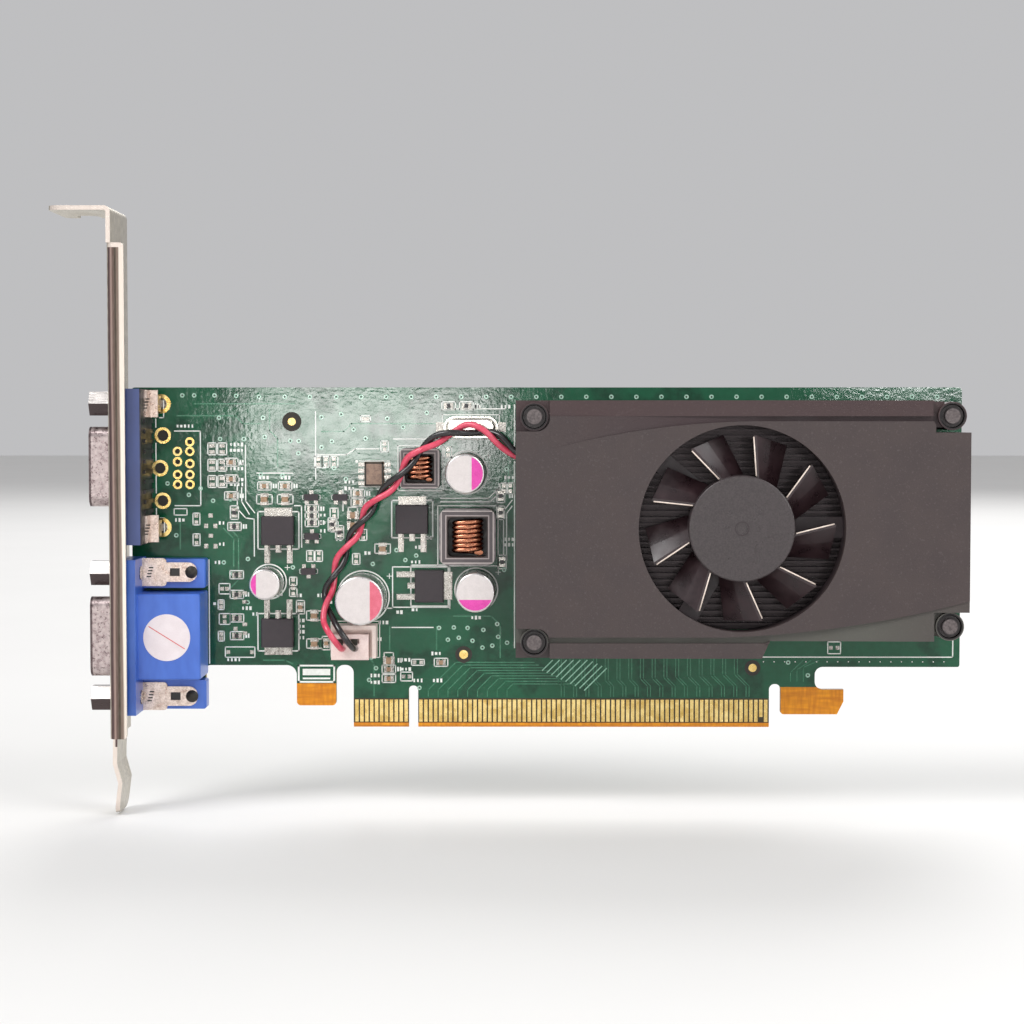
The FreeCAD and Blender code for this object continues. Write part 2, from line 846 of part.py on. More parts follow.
def build_lower_connector():
    """The full-depth connector: a face, a raised block and two ears on the board."""
    front = "bracket_face + sheet + plate_sheet"
    face = span(
        "lower_face",
        (front, "lower_y - port_half", "board_half"),
        (-54.20, "lower_y + port_half", "port_top"),
    )
    block = span(
        "lower_block",
        (-54.40, "lower_y - 8.55", "board_half"),
        (-41.70, "lower_y + 8.55", 11.30),
    )
    block = rounded(
        "lower_block_soft",
        block,
        [
            (lambda e, m: near(z=11.30)(e, m) and m.x > -54.3, 0.35),
            (lambda e, m: along("z")(e, m) and near(x=-41.70)(e, m), 0.5),
        ],
    )
    ears = []
    slots = []
    for index, side in enumerate((-1, 1)):
        y = f"lower_y + {side} * 12.20"
        ear = box(f"lower_ear_{index}", (-54.40, f"{y} - 2.90", "board_half"), (12.9, 5.8, 4.2))
        ears.append(rounded(f"lower_ear_soft_{index}", ear, [(near(x=-41.50), 0.5)]))
        leg_y = f"lower_y + {side} * screw_offset"
        slots.append(box(f"lower_leg_slot_{index}", (-46.6, f"{leg_y} - 0.9", 0), (2.0, 1.8, 6)))
    whole = fuse("lower_blank", face, block, *ears, build_insert("lower", "lower_y"))
    tail_room = span(
        "lower_tail_room",
        (-49.40, "lower_y - 6.8", "board_half - 1"),
        (-42.60, "lower_y + 6.8", 10.00),
    )
    tools = [tail_room, *slots]
    tools += insert_holes("lower", "lower_y", LOWER_ROWS) + screw_bores("lower", "lower_y", 6.0)
    finish("vga_lower_housing", cut("lower_housing", whole, *tools))
    build_shell("lower", "vga_lower_shell", "lower_y")
    build_contacts("lower", "vga_lower_contacts", "lower_y", LOWER_ROWS)
    clips = []
    for index, side in enumerate((-1, 1)):
        y = f"lower_y + {side} * screw_offset"
        wide = box(f"lower_clip_wide_{index}", (-54.20, f"{y} - 2.8", 4.985), (4.9, 5.6, 0.5))
        narrow = box(f"lower_clip_narrow_{index}", (-49.40, f"{y} - 1.95", 4.985), (6.2, 3.9, 0.5))
        window = box(f"lower_clip_window_{index}", (-48.60, f"{y} - 0.8", 4), (2.0, 1.6, 2))
        leg = box(f"lower_clip_leg_{index}", (-46.0, f"{y} - 0.7", -2.2), (0.8, 1.4, 7.3))
        blank = fuse(f"lower_clip_blank_{index}", wide, narrow, leg)
        shaped = rounded(
            f"lower_clip_shaped_{index}",
            blank,
            [
                (lambda e, m: along("z")(e, m) and near(x=-43.20)(e, m), 1.7),
                (lambda e, m, y=size(y): near(x=-49.30)(e, m) and abs(m.y - y) > 2.7, 0.7),
            ],
        )
        clips.append(cut(f"lower_clip_{index}", shaped, window))
    finish("vga_lower_clips", group("lower_clips", *clips))


def build_jackscrews():
    """Hexagonal standoffs with a blind threaded bore and a shank through the bracket.

    The lower screw place of the upper connector is empty on this card.
    """
    screws = []
    places = ("upper_y + screw_offset", "lower_y + screw_offset", "lower_y - screw_offset")
    for index, y in enumerate(places):
        part = f"jackscrew_{index}"
        hexagon = doc.addObject("Part::Prism", part + "_hex")
        hexagon.Polygon = 6
        hexagon.Placement.Rotation = TURN["x"]
        bind(hexagon, "Circumradius", "hex_flats / sqrt(3)")
        bind(hexagon, "Height", "hex_length")
        bind_base(hexagon, ("bracket_face - hex_length", y, "port_z"))
        shank = rod(part + "_shank", ("bracket_face - 0.5", y, "port_z"), 1.40, 5.5, "x")
        blank = fuse(part + "_blank", hexagon, shank)
        at = ("bracket_face - hex_length - 1", y, "port_z")
        bore = rod(part + "_bore", at, "screw_bore", "screw_bore_depth + 1", "x")
        screws.append(cut(part, blank, bore))
    finish("jackscrews", group("jackscrews_all", *screws))


def build_sticker():
    disc = rod("sticker_disc", (-48.35, 19.25, 11.30), 4.65, 0.08)
    finish("inspection_sticker", group("sticker", disc))


# ---- cooler ---------------------------------------------------------------------------------

COVER_OUTLINE = [
    ("cover_left", "cover_bottom"),
    (69.30, "cover_bottom"),
    (70.80, 18.80),
    (103.10, 18.80),
    (103.10, 24.50),
    ("cover_right", 24.50),
    ("cover_right", 59.90),
    (103.10, 59.90),
    (103.10, "cover_top"),
    ("cover_left", "cover_top"),
]
CAVITY_OUTLINE = [
    ("cover_left + wall", "cover_bottom + wall"),
    (68.50, "cover_bottom + wall"),
    (70.00, "18.80 + wall"),
    ("103.10 - wall", "18.80 + wall"),
    ("103.10 - wall", "24.50 + wall"),
    ("cover_right - wall", "24.50 + wall"),
    ("cover_right - wall", "59.90 - wall"),
    ("103.10 - wall", "59.90 - wall"),
    ("103.10 - wall", "cover_top - wall"),
    ("cover_left + wall", "cover_top - wall"),
]


def ramp(name, outline, low_x, high_x, low_z, high_z):
    """What an outline takes off the cover down to a slope along the card."""
    column = prism(f"{name}_column", outline, 10, 6)
    slope = prism(
        f"{name}_slope",
        [(low_x, low_z), (high_x, high_z), (high_x, 16), (low_x, 16)],
        0,
        80,
        plane="xz",
    )
    return common(name, column, slope)


def inner_corner(x, y):
    """Picks the upright edge of a block at one plan corner."""
    return lambda e, m: along("z")(e, m) and near(x, y)(e, m)


def build_cover():
    shell = prism("cover_block", COVER_OUTLINE, "skirt", "plateau_z - skirt")
    cavity = prism("cover_cavity", CAVITY_OUTLINE, "skirt - 1", "cavity_top - skirt + 1")
    deep = "plateau_z - wedge_depth"
    upper_wedge = [
        (27.50, 56.60),
        (72.00, 62.10, 48.50, 60.75),
        (103.10, 62.10),
        (103.10, 63.10),
        (27.50, 63.10),
    ]
    lower_wedge = [
        (27.50, 18.40),
        (69.80, 18.40),
        (70.80, 18.80),
        (103.10, 18.80),
        (112.00, 18.80),
        (112.00, 27.30),
        (62.00, 19.60, 88.00, 22.10),
        (27.50, 19.60),
    ]
    top_slope = ramp("upper_wedge", upper_wedge, 27.0, 76.0, "plateau_z - 0.05", deep)
    top_floor = ramp("upper_floor", upper_wedge, 75.9, 104.0, deep, deep)
    foot_floor = ramp("lower_floor", lower_wedge, 27.0, 72.1, deep, deep)
    foot_slope = ramp("lower_wedge", lower_wedge, 72.0, 112.5, deep, "plateau_z - 0.10")
    rails = [
        span("upper_rail_step", (27.5, 63.10, "rail_z"), (103.2, "cover_top + 1", 16)),
        span("lower_rail_step", (27.5, "cover_bottom - 1", "rail_z"), (71.0, 18.40, 16)),
    ]
    corners = [
        span("corner_1", (20, 60.10, "corner_top"), (27.5, 67, 16)),
        span("corner_3", (20, 14, "corner_top"), (27.5, 21.30, 16)),
        span("corner_2", (102.6, 60.30, "corner_top"), (110.5, 67, 16)),
    ]
    corners = [
        rounded(f"corner_cut_{index}", corner, [(inner_corner(x, y), 2.6)])
        for index, (corner, x, y) in enumerate(
            ((corners[0], 27.5, 60.1), (corners[1], 27.5, 21.3), (corners[2], 102.6, 60.3))
        )
    ]
    skin = cut("cover_skin", shell, cavity, top_slope, top_floor, foot_floor, foot_slope, *rails, *corners)
    wells = []
    bores = []
    for index, (x, y) in enumerate(PIN_PLACES):
        wells.append(rod(f"well_{index}", (x, y, "base_top"), "well_ring", "well_top - base_top"))
        bores.append(rod(f"well_bore_{index}", (x, y, "base_top - 1"), "well_bore", 14))
    bridges = [
        span("bridge_2", (102.4, 60.9, "skirt"), (105.0, 66.0, "corner_top")),
        span("bridge_4", (102.4, 20.1, "skirt"), (105.0, 24.6, "corner_top")),
    ]
    joined = fuse("cover_joined", skin, *wells, *bridges)
    opening = rod("fan_opening_cut", ("fan_x", "fan_y", 0), "fan_opening", 20)
    for index, angle in enumerate(SCREW_ANGLES):
        x, y = polar(EAR_RADIUS, angle)
        bores.append(rod(f"cover_screw_hole_{index}", (x, y, 11), 0.62, 1.6))
    notch = span("wire_notch", (20, 53.7, "skirt - 1"), (22.5, 57.2, 10.2))
    finish("fan_cover", cut("cover", joined, opening, notch, *bores))


def build_heatsink():
    """A base plate on the processor with fins along the card, lowered under the fan."""
    body = doc.addObject("PartDesign::Body", "heatsink_body")
    base = body_sketch(body, "heatsink_base", "base_bottom")
    draw(base, [(31.5, 20.3), (101.7, 20.3), (101.7, 62.3), (31.5, 62.3)])
    pad(body, base, "base_top - base_bottom")
    for index, (x, y) in enumerate(PIN_PLACES):
        inward = 1 if x < 60 else -1
        ear = body_sketch(body, f"heatsink_ear_{index}", "base_bottom")
        outer = x - inward * 2.7
        inner = 36.0 if inward > 0 else 98.0
        low, high = y - 2.7, y + 2.7
        if inward > 0:
            draw(ear, [(outer, low), (inner, low), (inner, high), (outer, high)])
        else:
            draw(ear, [(inner, low), (outer, low), (outer, high), (inner, high)])
        pad(body, ear, "base_top - base_bottom")
    doc.recompute()
    fin = body_sketch(body, "first_fin", "base_top - 0.2")
    draw(
        fin,
        [
            ("fin_left", "fin_first"),
            ("fin_right", "fin_first"),
            ("fin_right", "fin_first + fin_width"),
            ("fin_left", "fin_first + fin_width"),
        ],
    )
    fin_pad = pad(body, fin, "fin_top - base_top + 0.2")
    doc.recompute()
    pattern = body.newObject("PartDesign::LinearPattern", "fins")
    pattern.Originals = [fin_pad]
    pattern.Direction = (origin_plane(body, "Y_Axis"), [""])
    pattern.Occurrences = 33
    bind(pattern, "Length", "32 * fin_pitch")
    body.Tip = pattern
    under_fan = body_sketch(body, "under_fan", "fin_top + 1")
    circles(under_fan, [("fan_x", "fan_y", "fan_pocket")])
    pocket(body, under_fan, "fin_top + 1 - fin_low")
    channel = body_sketch(body, "wire_channel", "fin_top + 1")
    draw(channel, [(32, 53.1), (50, 53.1), (50, 56.4), (32, 56.4)])
    pocket(body, channel, "fin_top + 1 - fin_low")
    holes = body_sketch(body, "pin_holes", "base_top + 1")
    circles(holes, [(x, y, "pin_hole") for x, y in PIN_PLACES])
    pocket(body, holes, "base_top - base_bottom + 2")
    finish("heatsink", body)


def build_processor():
    centre_low = ("fan_x - 14.5", "fan_y - 14.5", "board_half")
    substrate = box("substrate", centre_low, (29, 29, 1.30))
    finish("gpu_substrate", group("gpu_substrate_all", substrate))
    die = box("die", ("fan_x - 6", "fan_y - 6.5", "board_half + 1.30"), (12, 13, 0.75))
    finish("gpu_die", group("gpu_die_all", die))
    low = ("fan_x - 6.5", "fan_y - 7", "board_half + 2.05")
    paste = box("paste", low, (13, 14, "base_bottom - board_half - 2.05"))
    finish("thermal_paste", group("thermal_paste_all", paste))
    chips = []
    for index, (x, y) in enumerate(((36.0, 44.7), (36.0, 29.7), (88.0, 44.7), (88.0, 29.7))):
        chips.append(box(f"memory_{index}", (x, y, "board_half"), (8.0, 12.5, 1.05)))
    finish("memory_chips", group("memory_chips_all", *chips))


# ---- fan --------------------------------------------------------------------------------------

BLADES = 9
FIRST_TIP = 2.9
SWEEP_BACK = 9.0
TIP_TWIST = 21.0
ROOT_TWIST = 25.0
STRUT_ANGLES = (0.0, 140.0, 240.0)
SCREW_ANGLES = (60.0, 180.0, 300.0)
EAR_RADIUS = 22.2


def polar(radius, angle):
    """A point about the fan's axis."""
    turn = math.radians(angle)
    return (size("fan_x") + radius * math.cos(turn), size("fan_y") + radius * math.sin(turn))


def build_fan_frame():
    """Motor floor on three struts inside a rim with three screw ears."""
    floor = rod("motor_floor", ("fan_x", "fan_y", "frame_z"), "motor_disc", "frame_sheet")
    rim = cut(
        "frame_rim",
        rod("rim_outside", ("fan_x", "fan_y", "frame_z"), "frame_outer", "cavity_top - frame_z"),
        rod("rim_inside", ("fan_x", "fan_y", "frame_z - 1"), "frame_inner", 8),
    )
    struts = []
    for index, angle in enumerate(STRUT_ANGLES):
        arm = box(f"strut_bar_{index}", (9, "-strut / 2", "frame_z"), (12, "strut", "frame_sheet"))
        turn = FreeCAD.Rotation(VERTICAL, angle)
        struts.append(moved(f"strut_{index}", arm, ("fan_x", "fan_y", 0), turn))
    ears = []
    holes = []
    for index, angle in enumerate(SCREW_ANGLES):
        x, y = polar(EAR_RADIUS, angle)
        ears.append(rod(f"frame_ear_{index}", (x, y, "frame_z"), 1.45, "cavity_top - frame_z"))
        holes.append(rod(f"frame_screw_hole_{index}", (x, y, "frame_z - 1"), 0.62, 8))
        holes.append(rod(f"frame_head_hole_{index}", (x, y, "frame_z - 1"), 1.10, 1.8))
    socket = rod("bearing_tube", ("fan_x", "fan_y", "frame_z"), "bearing + 0.80", 5.0)
    blank = fuse("frame_blank", floor, rim, *struts, *ears, socket)
    bore = rod("bearing_tube_bore", ("fan_x", "fan_y", "frame_z + frame_sheet"), "bearing", 6)
    finish("fan_frame", cut("frame", blank, bore, *holes))


def build_fan_screws():
    """Screws from under the frame's ears up into the cover."""
    screws = []
    for index, angle in enumerate(SCREW_ANGLES):
        x, y = polar(EAR_RADIUS, angle)
        shank = rod(f"fan_screw_shank_{index}", (x, y, "frame_z + 0.1"), 0.60, 5.8)
        head = rod(f"fan_screw_head_{index}", (x, y, "frame_z + 0.1"), 1.05, 0.7)
        screws.append(fuse(f"fan_screw_{index}", shank, head))
    finish("fan_screws", group("fan_screws_all", *screws))


def build_motor():
    board = cut(
        "motor_board",
        rod("motor_board_disc", ("fan_x", "fan_y", "frame_z + frame_sheet"), 8.0, 0.5),
        rod("motor_board_hole", ("fan_x", "fan_y", "frame_z"), "bearing + 0.85", 3),
    )
    finish("fan_circuit_board", board)
    sleeve = cut(
        "bearing_sleeve",
        rod("bearing_outside", ("fan_x", "fan_y", "frame_z + frame_sheet"), "bearing", 3.8),
        rod("bearing_bore", ("fan_x", "fan_y", "frame_z"), "shaft + bearing_gap", 6),
    )
    finish("fan_bearing", sleeve)
    hoop = cut(
        "core_hoop",
        rod("core_outside", ("fan_x", "fan_y", 8.9), 5.0, 2.0),
        rod("core_bore", ("fan_x", "fan_y", 8), "bearing + 0.80", 4),
    )
    shoe_band = cut(
        "core_band",
        rod("shoe_outside", ("fan_x", "fan_y", 8.9), 7.8, 2.0),
        rod("shoe_inside", ("fan_x", "fan_y", 8), 7.0, 4),
    )
    gaps = []
    arms = []
    coils = []
    for index, angle in enumerate(ring(0.0, 90.0, 4)):
        turn = FreeCAD.Rotation(VERTICAL, angle)
        middle = ("fan_x", "fan_y", 0)
        arm = box(f"pole_bar_{index}", (4.5, -0.8, 8.9), (2.8, 1.6, 2.0))
        arms.append(moved(f"pole_{index}", arm, middle, turn))
        gap = box(f"gap_bar_{index}", (5.5, -0.6, 8), (4, 1.2, 4))
        gaps.append(moved(f"gap_{index}", gap, middle, FreeCAD.Rotation(VERTICAL, angle + 45)))
        loop = box(f"coil_block_{index}", (5.2, -1.7, 8.4), (1.5, 3.4, 3.0))
        slot = box(f"coil_slot_{index}", (5.0, -0.82, 8.88), (2, 1.64, 2.04))
        coils.append(moved(f"coil_{index}", cut(f"coil_loop_{index}", loop, slot), middle, turn))
    shoes = cut("core_shoes", shoe_band, *gaps)
    finish("stator_core", fuse("core", hoop, shoes, *arms))
    finish("stator_windings", group("windings", *coils))


def blade_section(radius, lead, twist):
    """A blade's section in a plane square to the radius, as a closed wire."""
    middle = math.radians(lead - twist / 2)
    outward = FreeCAD.Vector(math.cos(middle), math.sin(middle), 0)
    tangent = FreeCAD.Vector(-math.sin(middle), math.cos(middle), 0)
    half = radius * math.radians(twist) / 2
    top = size("blade_top")
    foot = size("blade_foot")
    sheet_size = size("blade_sheet")
    bow = 0.35
    chord = [(half, top), (bow - 0.1, (top + foot) / 2 + bow), (-half, foot)]
    near_side = [outward * radius + tangent * s + VERTICAL * z for s, z in chord]
    far_side = [outward * radius + tangent * (s - sheet_size) + VERTICAL * z for s, z in reversed(chord)]
    return Part.makePolygon(near_side + far_side + near_side[:1])


def build_impeller():
    """Nine twisted blades round a cup that holds the magnet; the blade is a ruled loft."""
    cup = cut(
        "hub_cup",
        rod("hub_outside", ("fan_x", "fan_y", "hub_foot"), "hub", "hub_top - hub_foot"),
        rod("hub_inside", ("fan_x", "fan_y", "hub_foot - 1"), "hub - hub_wall", "hub_top - hub_foot + 0.1"),
    )
    cup = rounded("hub_soft", cup, [(near(z=size("hub_top")), 0.35)])
    boss = rod("hub_boss", ("fan_x", "fan_y", "hub_top - 1.9"), 2.0, 1.5)
    bore = rod("hub_bore", ("fan_x", "fan_y", "hub_top - 3"), "shaft", 2.6)
    dimple = rod("hub_dimple", ("fan_x", "fan_y", "hub_top - 0.15"), 1.1, 1)
    root = blade_section(size("blade_root"), FIRST_TIP - SWEEP_BACK, ROOT_TWIST)
    tip = blade_section(size("blade_tip"), FIRST_TIP, TIP_TWIST)
    shape = Part.makeLoft([root, tip], True, True)
    blades = []
    for index in range(BLADES):
        blade = doc.addObject("Part::Feature", f"blade_{index}")
        blade.Shape = shape
        turn = FreeCAD.Rotation(VERTICAL, index * 360 / BLADES)
        blade.Placement = FreeCAD.Placement(FreeCAD.Vector(size("fan_x"), size("fan_y"), 0), turn)
        blades.append(blade)
    blank = fuse("impeller_blank", cup, boss, *blades)
    finish("fan_impeller", cut("impeller", blank, bore, dimple))
    magnet = cut(
        "magnet_ring",
        rod("magnet_outside", ("fan_x", "fan_y", 8.6), "hub - hub_wall", 3.6),
        rod("magnet_inside", ("fan_x", "fan_y", 8), 8.3, 5),
    )
    finish("rotor_magnet", magnet)
    pin = rod("shaft_rod", ("fan_x", "fan_y", "frame_z + frame_sheet + 0.1"), "shaft", 5.2)
    finish("fan_shaft", group("fan_shaft_all", pin))


def build_push_pins():
    """Spring pins: nub, flange, shank through heatsink and board, and a split barbed tip."""
    for index, (x, y) in enumerate(PIN_PLACES, 1):
        part = f"pin_{index}"
        nub = rod(part + "_nub", (x, y, "pin_head_z + 0.6"), "pin_nub", 1.0)
        flange = rod(part + "_flange", (x, y, "pin_head_z"), "pin_flange", 0.6)
        shank = rod(part + "_shank", (x, y, "pin_tip_z"), "pin_shank", "pin_head_z - pin_tip_z")
        barb = cone(part + "_barb", (x, y, "pin_tip_z"), 0.7, 1.95, "-board_half - 0.10 - pin_tip_z")
        slit = box(part + "_slit", (f"{x} - 0.25", f"{y} - 3", "pin_tip_z - 1"), (0.5, 6, 7.0))
        blank = fuse(part + "_blank", nub, flange, shank, barb)
        finish(f"push_pin_{index}", cut(part, blank, slit))
        coil = helix(f"spring_{index}", DIMS["spring_mean"], 1.43, 5, DIMS["spring_wire"])
        at = (x, y, "base_top + spring_wire + 0.02")
        finish(f"push_pin_spring_{index}", group(part + "_spring", moved(part + "_coil", coil, at)))


# ---- parts on the board -----------------------------------------------------------------------

# x, y, radius, height, lead pitch, leads side by side along x
CAPACITORS = [
    (-10.15, 26.55, 4.90, 10.6, 5.0, True),
    (-29.25, 29.60, 3.15, 7.9, 2.5, True),
    (10.75, 51.70, 3.97, 8.9, 3.5, True),
    (12.75, 28.05, 3.97, 8.9, 3.5, False),
]
INDUCTORS = [(1.48, 52.60, 8.2, 4.0, 5), (11.08, 38.90, 11.3, 5.0, 7)]
REGULATORS = [(-27.30, 40.00, 0), (-0.20, 42.30, 0), (-27.40, 19.30, 180), (3.30, 28.80, 270)]
TRANSISTORS = [(-20.60, 46.70, 0), (-14.70, 46.70, 0), (-20.50, 38.80, 0), (-21.20, 31.70, 180)]
# x, y, long side along x, size
CERAMICS = [
    (-30.10, 46.30, False, "large"),
    (-25.90, 46.30, False, "large"),
    (-30.10, 49.00, True, "small"),
    (-25.90, 49.00, True, "small"),
    (-12.20, 43.10, True, "large"),
    (-12.20, 41.00, True, "large"),
    (-11.20, 47.50, True, "small"),
    (-11.20, 45.70, True, "small"),
    (-6.20, 36.30, False, "large"),
    (-20.10, 22.70, False, "large"),
    (-20.10, 17.00, False, "large"),
    (-17.70, 17.10, False, "small"),
    (-5.00, 13.60, True, "large"),
    (-5.00, 11.80, True, "small"),
    (-5.00, 9.90, True, "small"),
    (5.60, 13.20, True, "small"),
    (-36.80, 47.00, True, "small"),
    (-36.80, 50.40, True, "small"),
    (-36.80, 53.80, True, "small"),
    (-22.90, 24.40, False, "small"),
]
RESISTORS = [
    (-20.50, 43.00, True, "small"),
    (-20.50, 41.60, True, "small"),
    (-20.50, 44.40, True, "small"),
    (-16.40, 41.20, False, "small"),
    (-14.90, 39.60, False, "small"),
    (-36.20, 43.60, False, "small"),
    (-36.20, 40.80, True, "small"),
    (-35.80, 31.00, True, "small"),
    (-35.80, 27.00, True, "small"),
    (-35.80, 22.20, True, "small"),
    (-35.80, 18.60, True, "small"),
    (10.80, 65.20, True, "small"),
    (7.20, 65.20, True, "small"),
    (17.70, 47.00, False, "small"),
    (17.70, 43.60, False, "small"),
    (18.00, 33.60, False, "small"),
]
CHIP_SIZES = {"large": (2.0, 1.25, 0.95), "small": (1.6, 0.8, 0.6)}


def lead_places():
    for x, y, _, _, pitch, level in CAPACITORS:
        for side in (-0.5, 0.5):
            yield (x + side * pitch, y) if level else (x, y + side * pitch)


def build_capacitors():
    """Upright aluminium cans, crimped over a rubber seal that stands on the board."""
    cans = []
    seals = []
    for index, (x, y, radius, height, _, _) in enumerate(CAPACITORS):
        can = rod(f"can_{index}", (x, y, "board_half + 0.3"), radius, height - 0.3)
        top = size("board_half") + height
        soft = rounded(f"can_soft_{index}", can, [(near(z=top), 0.45)])
        recess = rod(f"can_recess_{index}", (x, y, 0), radius - 0.35, "board_half + 1.3")
        crimp = doc.addObject("Part::Torus", f"can_crimp_{index}")
        crimp.Radius1 = radius + 0.12
        crimp.Radius2 = 0.32
        bind_base(crimp, (x, y, "board_half + 1.9"))
        cans.append(cut(f"capacitor_can_{index}", soft, recess, crimp))
        seals.append(rod(f"seal_{index}", (x, y, "board_half"), radius - 0.37, 1.3))
    holes = []
    leads = []
    for index, (x, y) in enumerate(lead_places()):
        holes.append(rod(f"seal_hole_{index}", (x, y, 0), 0.30, 5))
        start = (x, y, "-board_half - 1.3")
        leads.append(rod(f"capacitor_lead_{index}", start, 0.28, "2 * board_half + 2.4"))
    finish("capacitor_cans", group("capacitor_cans_all", *cans))
    finish("capacitor_seals", cut("capacitor_seals_all", group("seals", *seals), *holes))
    finish("capacitor_leads", group("capacitor_leads_all", *leads))


def build_inductors():
    """A ferrite block with an open window and a copper coil lying in it."""
    shells = []
    coils = []
    for index, (x, y, side, height, turns) in enumerate(INDUCTORS):
        part = f"inductor_{index}"
        half = side / 2
        block = box(part + "_block", (x - half, y - half, "board_half"), (side, side, height))
        soft = rounded(part + "_soft", block, [(along("z"), side * 0.16)])
        inner = half * 0.70
        window = box(
            part + "_window",
            (x - inner, y - inner, f"board_half + {height * 0.25}"),
            (2 * inner, 2 * inner, height),
        )
        window = rounded(part + "_window_soft", window, [(along("z"), side * 0.09)])
        shells.append(cut(part + "_shell", soft, window))
        wire = side * 0.045
        radius = height * 0.375 - wire - 0.05
        run = 2 * inner - 2 * wire - 0.5
        coil = helix(part + "_coil", radius, run / turns, turns, wire)
        lift = f"board_half + {height * 0.25 + radius + wire + 0.03}"
        at = (x, y - run / 2, lift)
        coils.append(moved(part + "_winding", coil, at, TURN["y"]))
    finish("inductor_shells", group("inductor_shells_all", *shells))
    finish("inductor_coils", group("inductor_coils_all", *coils))


def build_regulators():
    """Power regulators, drawn with the tab towards +y and turned in steps of 90 degrees."""
    bodies = []
    metal = []
    for index, (x, y, angle) in enumerate(REGULATORS):
        turn = FreeCAD.Rotation(VERTICAL, angle)
        part = f"regulator_{index}"
        body = box(part + "_body", (-3.25, -2.9, 0.16), (6.5, 5.8, 2.2))
        body = rounded(part + "_soft", body, [(near(z=2.36), 0.25)])
        tab = box(part + "_tab", (-2.65, -1.8, 0), (5.3, 6.2, 0.5))
        leads = []
        for step in (-1, 0, 1):
            width = 0.8
            reach = 1.4 if step == 0 else 3.6
            low = (step * 2.28 - width / 2, -2.9 - reach, 0)
            shoulder = box(f"{part}_shoulder_{step + 1}", (low[0], -4.3, 0.9), (width, 2.0, 0.5))
            leads.append(shoulder)
            if step:
                drop = box(f"{part}_drop_{step + 1}", (low[0], -4.5, 0), (width, 0.5, 1.4))
                foot = box(f"{part}_foot_{step + 1}", (low[0], low[1], 0), (width, reach - 1.2, 0.5))
                leads += [drop, foot]
        strip = fuse(part + "_metal", tab, *leads)
        hollow = cut(part + "_moulding", body, strip)
        at = (x, y, "board_half")
        bodies.append(moved(part + "_placed", hollow, at, turn))
        metal.append(moved(part + "_metal_placed", strip, at, turn))
    finish("regulator_bodies", group("regulator_bodies_all", *bodies))
    finish("regulator_leads", group("regulator_leads_all", *metal))


def build_crystal():
    """A low metal can with round ends on a flange."""

    def oval(name, half, radius, low, height):
        outline = [
            (11.70 - half, 60.90 - radius),
            (11.70 + half, 60.90 - radius),
            (11.70 + half, 60.90 + radius, 11.70 + half + radius, 60.90),
            (11.70 - half, 60.90 + radius),
        ]
        closing = (11.70 - half, 60.90 - radius, 11.70 - half - radius, 60.90)
        return prism(name, [closing] + outline[1:], low, height)

    flange = oval("crystal_flange", 3.30, 2.15, "board_half", 0.5)
    can = oval("crystal_cap", 3.10, 1.80, "board_half + 0.5", 3.0)
    soft = rounded("crystal_soft", can, [(near(z=size("board_half") + 3.5), 0.4)])
    finish("crystal_can", fuse("crystal", flange, soft))


def gull_lead(name, x, y, side, width, span_out, height):
    """One gull-wing lead leaving a body's side along x."""
    sheet_size = 0.2
    start = min(0, side * span_out)
    low_y = y - width / 2
    shoulder_at = (x + start, low_y, f"board_half + {height}")
    shoulder = box(name + "_a", shoulder_at, (span_out, width, sheet_size))
    drop_x = x + side * span_out - (sheet_size if side > 0 else 0)
    drop_sides = (sheet_size, width, height + sheet_size)
    drop = box(name + "_b", (drop_x, low_y, "board_half"), drop_sides)
    foot_x = x + side * span_out - (0.05 if side > 0 else 0.55)
    foot = box(name + "_c", (foot_x, low_y, "board_half"), (0.6, width, sheet_size))
    return fuse(name, shoulder, drop, foot)


def build_chip():
    x, y = -7.80, 51.45
    body = box("chip_block", (x - 1.95, y - 2.45, "board_half + 0.15"), (3.9, 4.9, 1.4))
    body = rounded("chip_soft", body, [(near(z=size("board_half") + 1.55), 0.2)])
    finish("controller_chip", group("controller_chip_all", body))
    leads = []
    for side in (-1, 1):
        for index in range(4):
            lead_y = y + (index - 1.5) * 1.27
            name = f"chip_lead_{side + 1}_{index}"
            leads.append(gull_lead(name, x + side * 1.95, lead_y, side, 0.42, 0.6, 0.6))
    finish("controller_leads", group("controller_leads_all", *leads))


def build_transistors():
    """Three-lead transistors: two leads on one long side, one on the other."""
    bodies = []
    leads = []
    for index, (x, y, angle) in enumerate(TRANSISTORS):
        up = 1 if angle == 0 else -1
        bodies.append(box(f"transistor_{index}", (x - 1.45, y - 0.65, "board_half + 0.05"), (2.9, 1.3, 1.0)))
        for number, (lead_x, side) in enumerate(((-0.95, -up), (0.95, -up), (0.0, up))):
            low = y + 0.65 if side > 0 else y - 1.25
            at = (x + lead_x - 0.2, low, "board_half")
            leads.append(box(f"transistor_lead_{index}_{number}", at, (0.4, 0.6, 0.45)))
    finish("transistor_bodies", group("transistor_bodies_all", *bodies))
    finish("transistor_leads", group("transistor_leads_all", *leads))


def chip_part(name, x, y, flat, scale):
    """A chip component's middle and its two end caps."""
    length, width, height = CHIP_SIZES[scale]
    cap = length * 0.24

    def bar(part, start, stop, grow):
        across = width / 2 + grow
        if flat:
            low = (x + start, y - across, "board_half")
            return box(part, low, (stop - start, 2 * across, height + grow))
        low = (x - across, y + start, "board_half")
        return box(part, low, (2 * across, stop - start, height + grow))

    middle = bar(name, -length / 2 + cap, length / 2 - cap, 0)
    ends = [
        bar(name + "_end_0", -length / 2, -length / 2 + cap, 0.03),
        bar(name + "_end_1", length / 2 - cap, length / 2, 0.03),
    ]
    return middle, ends


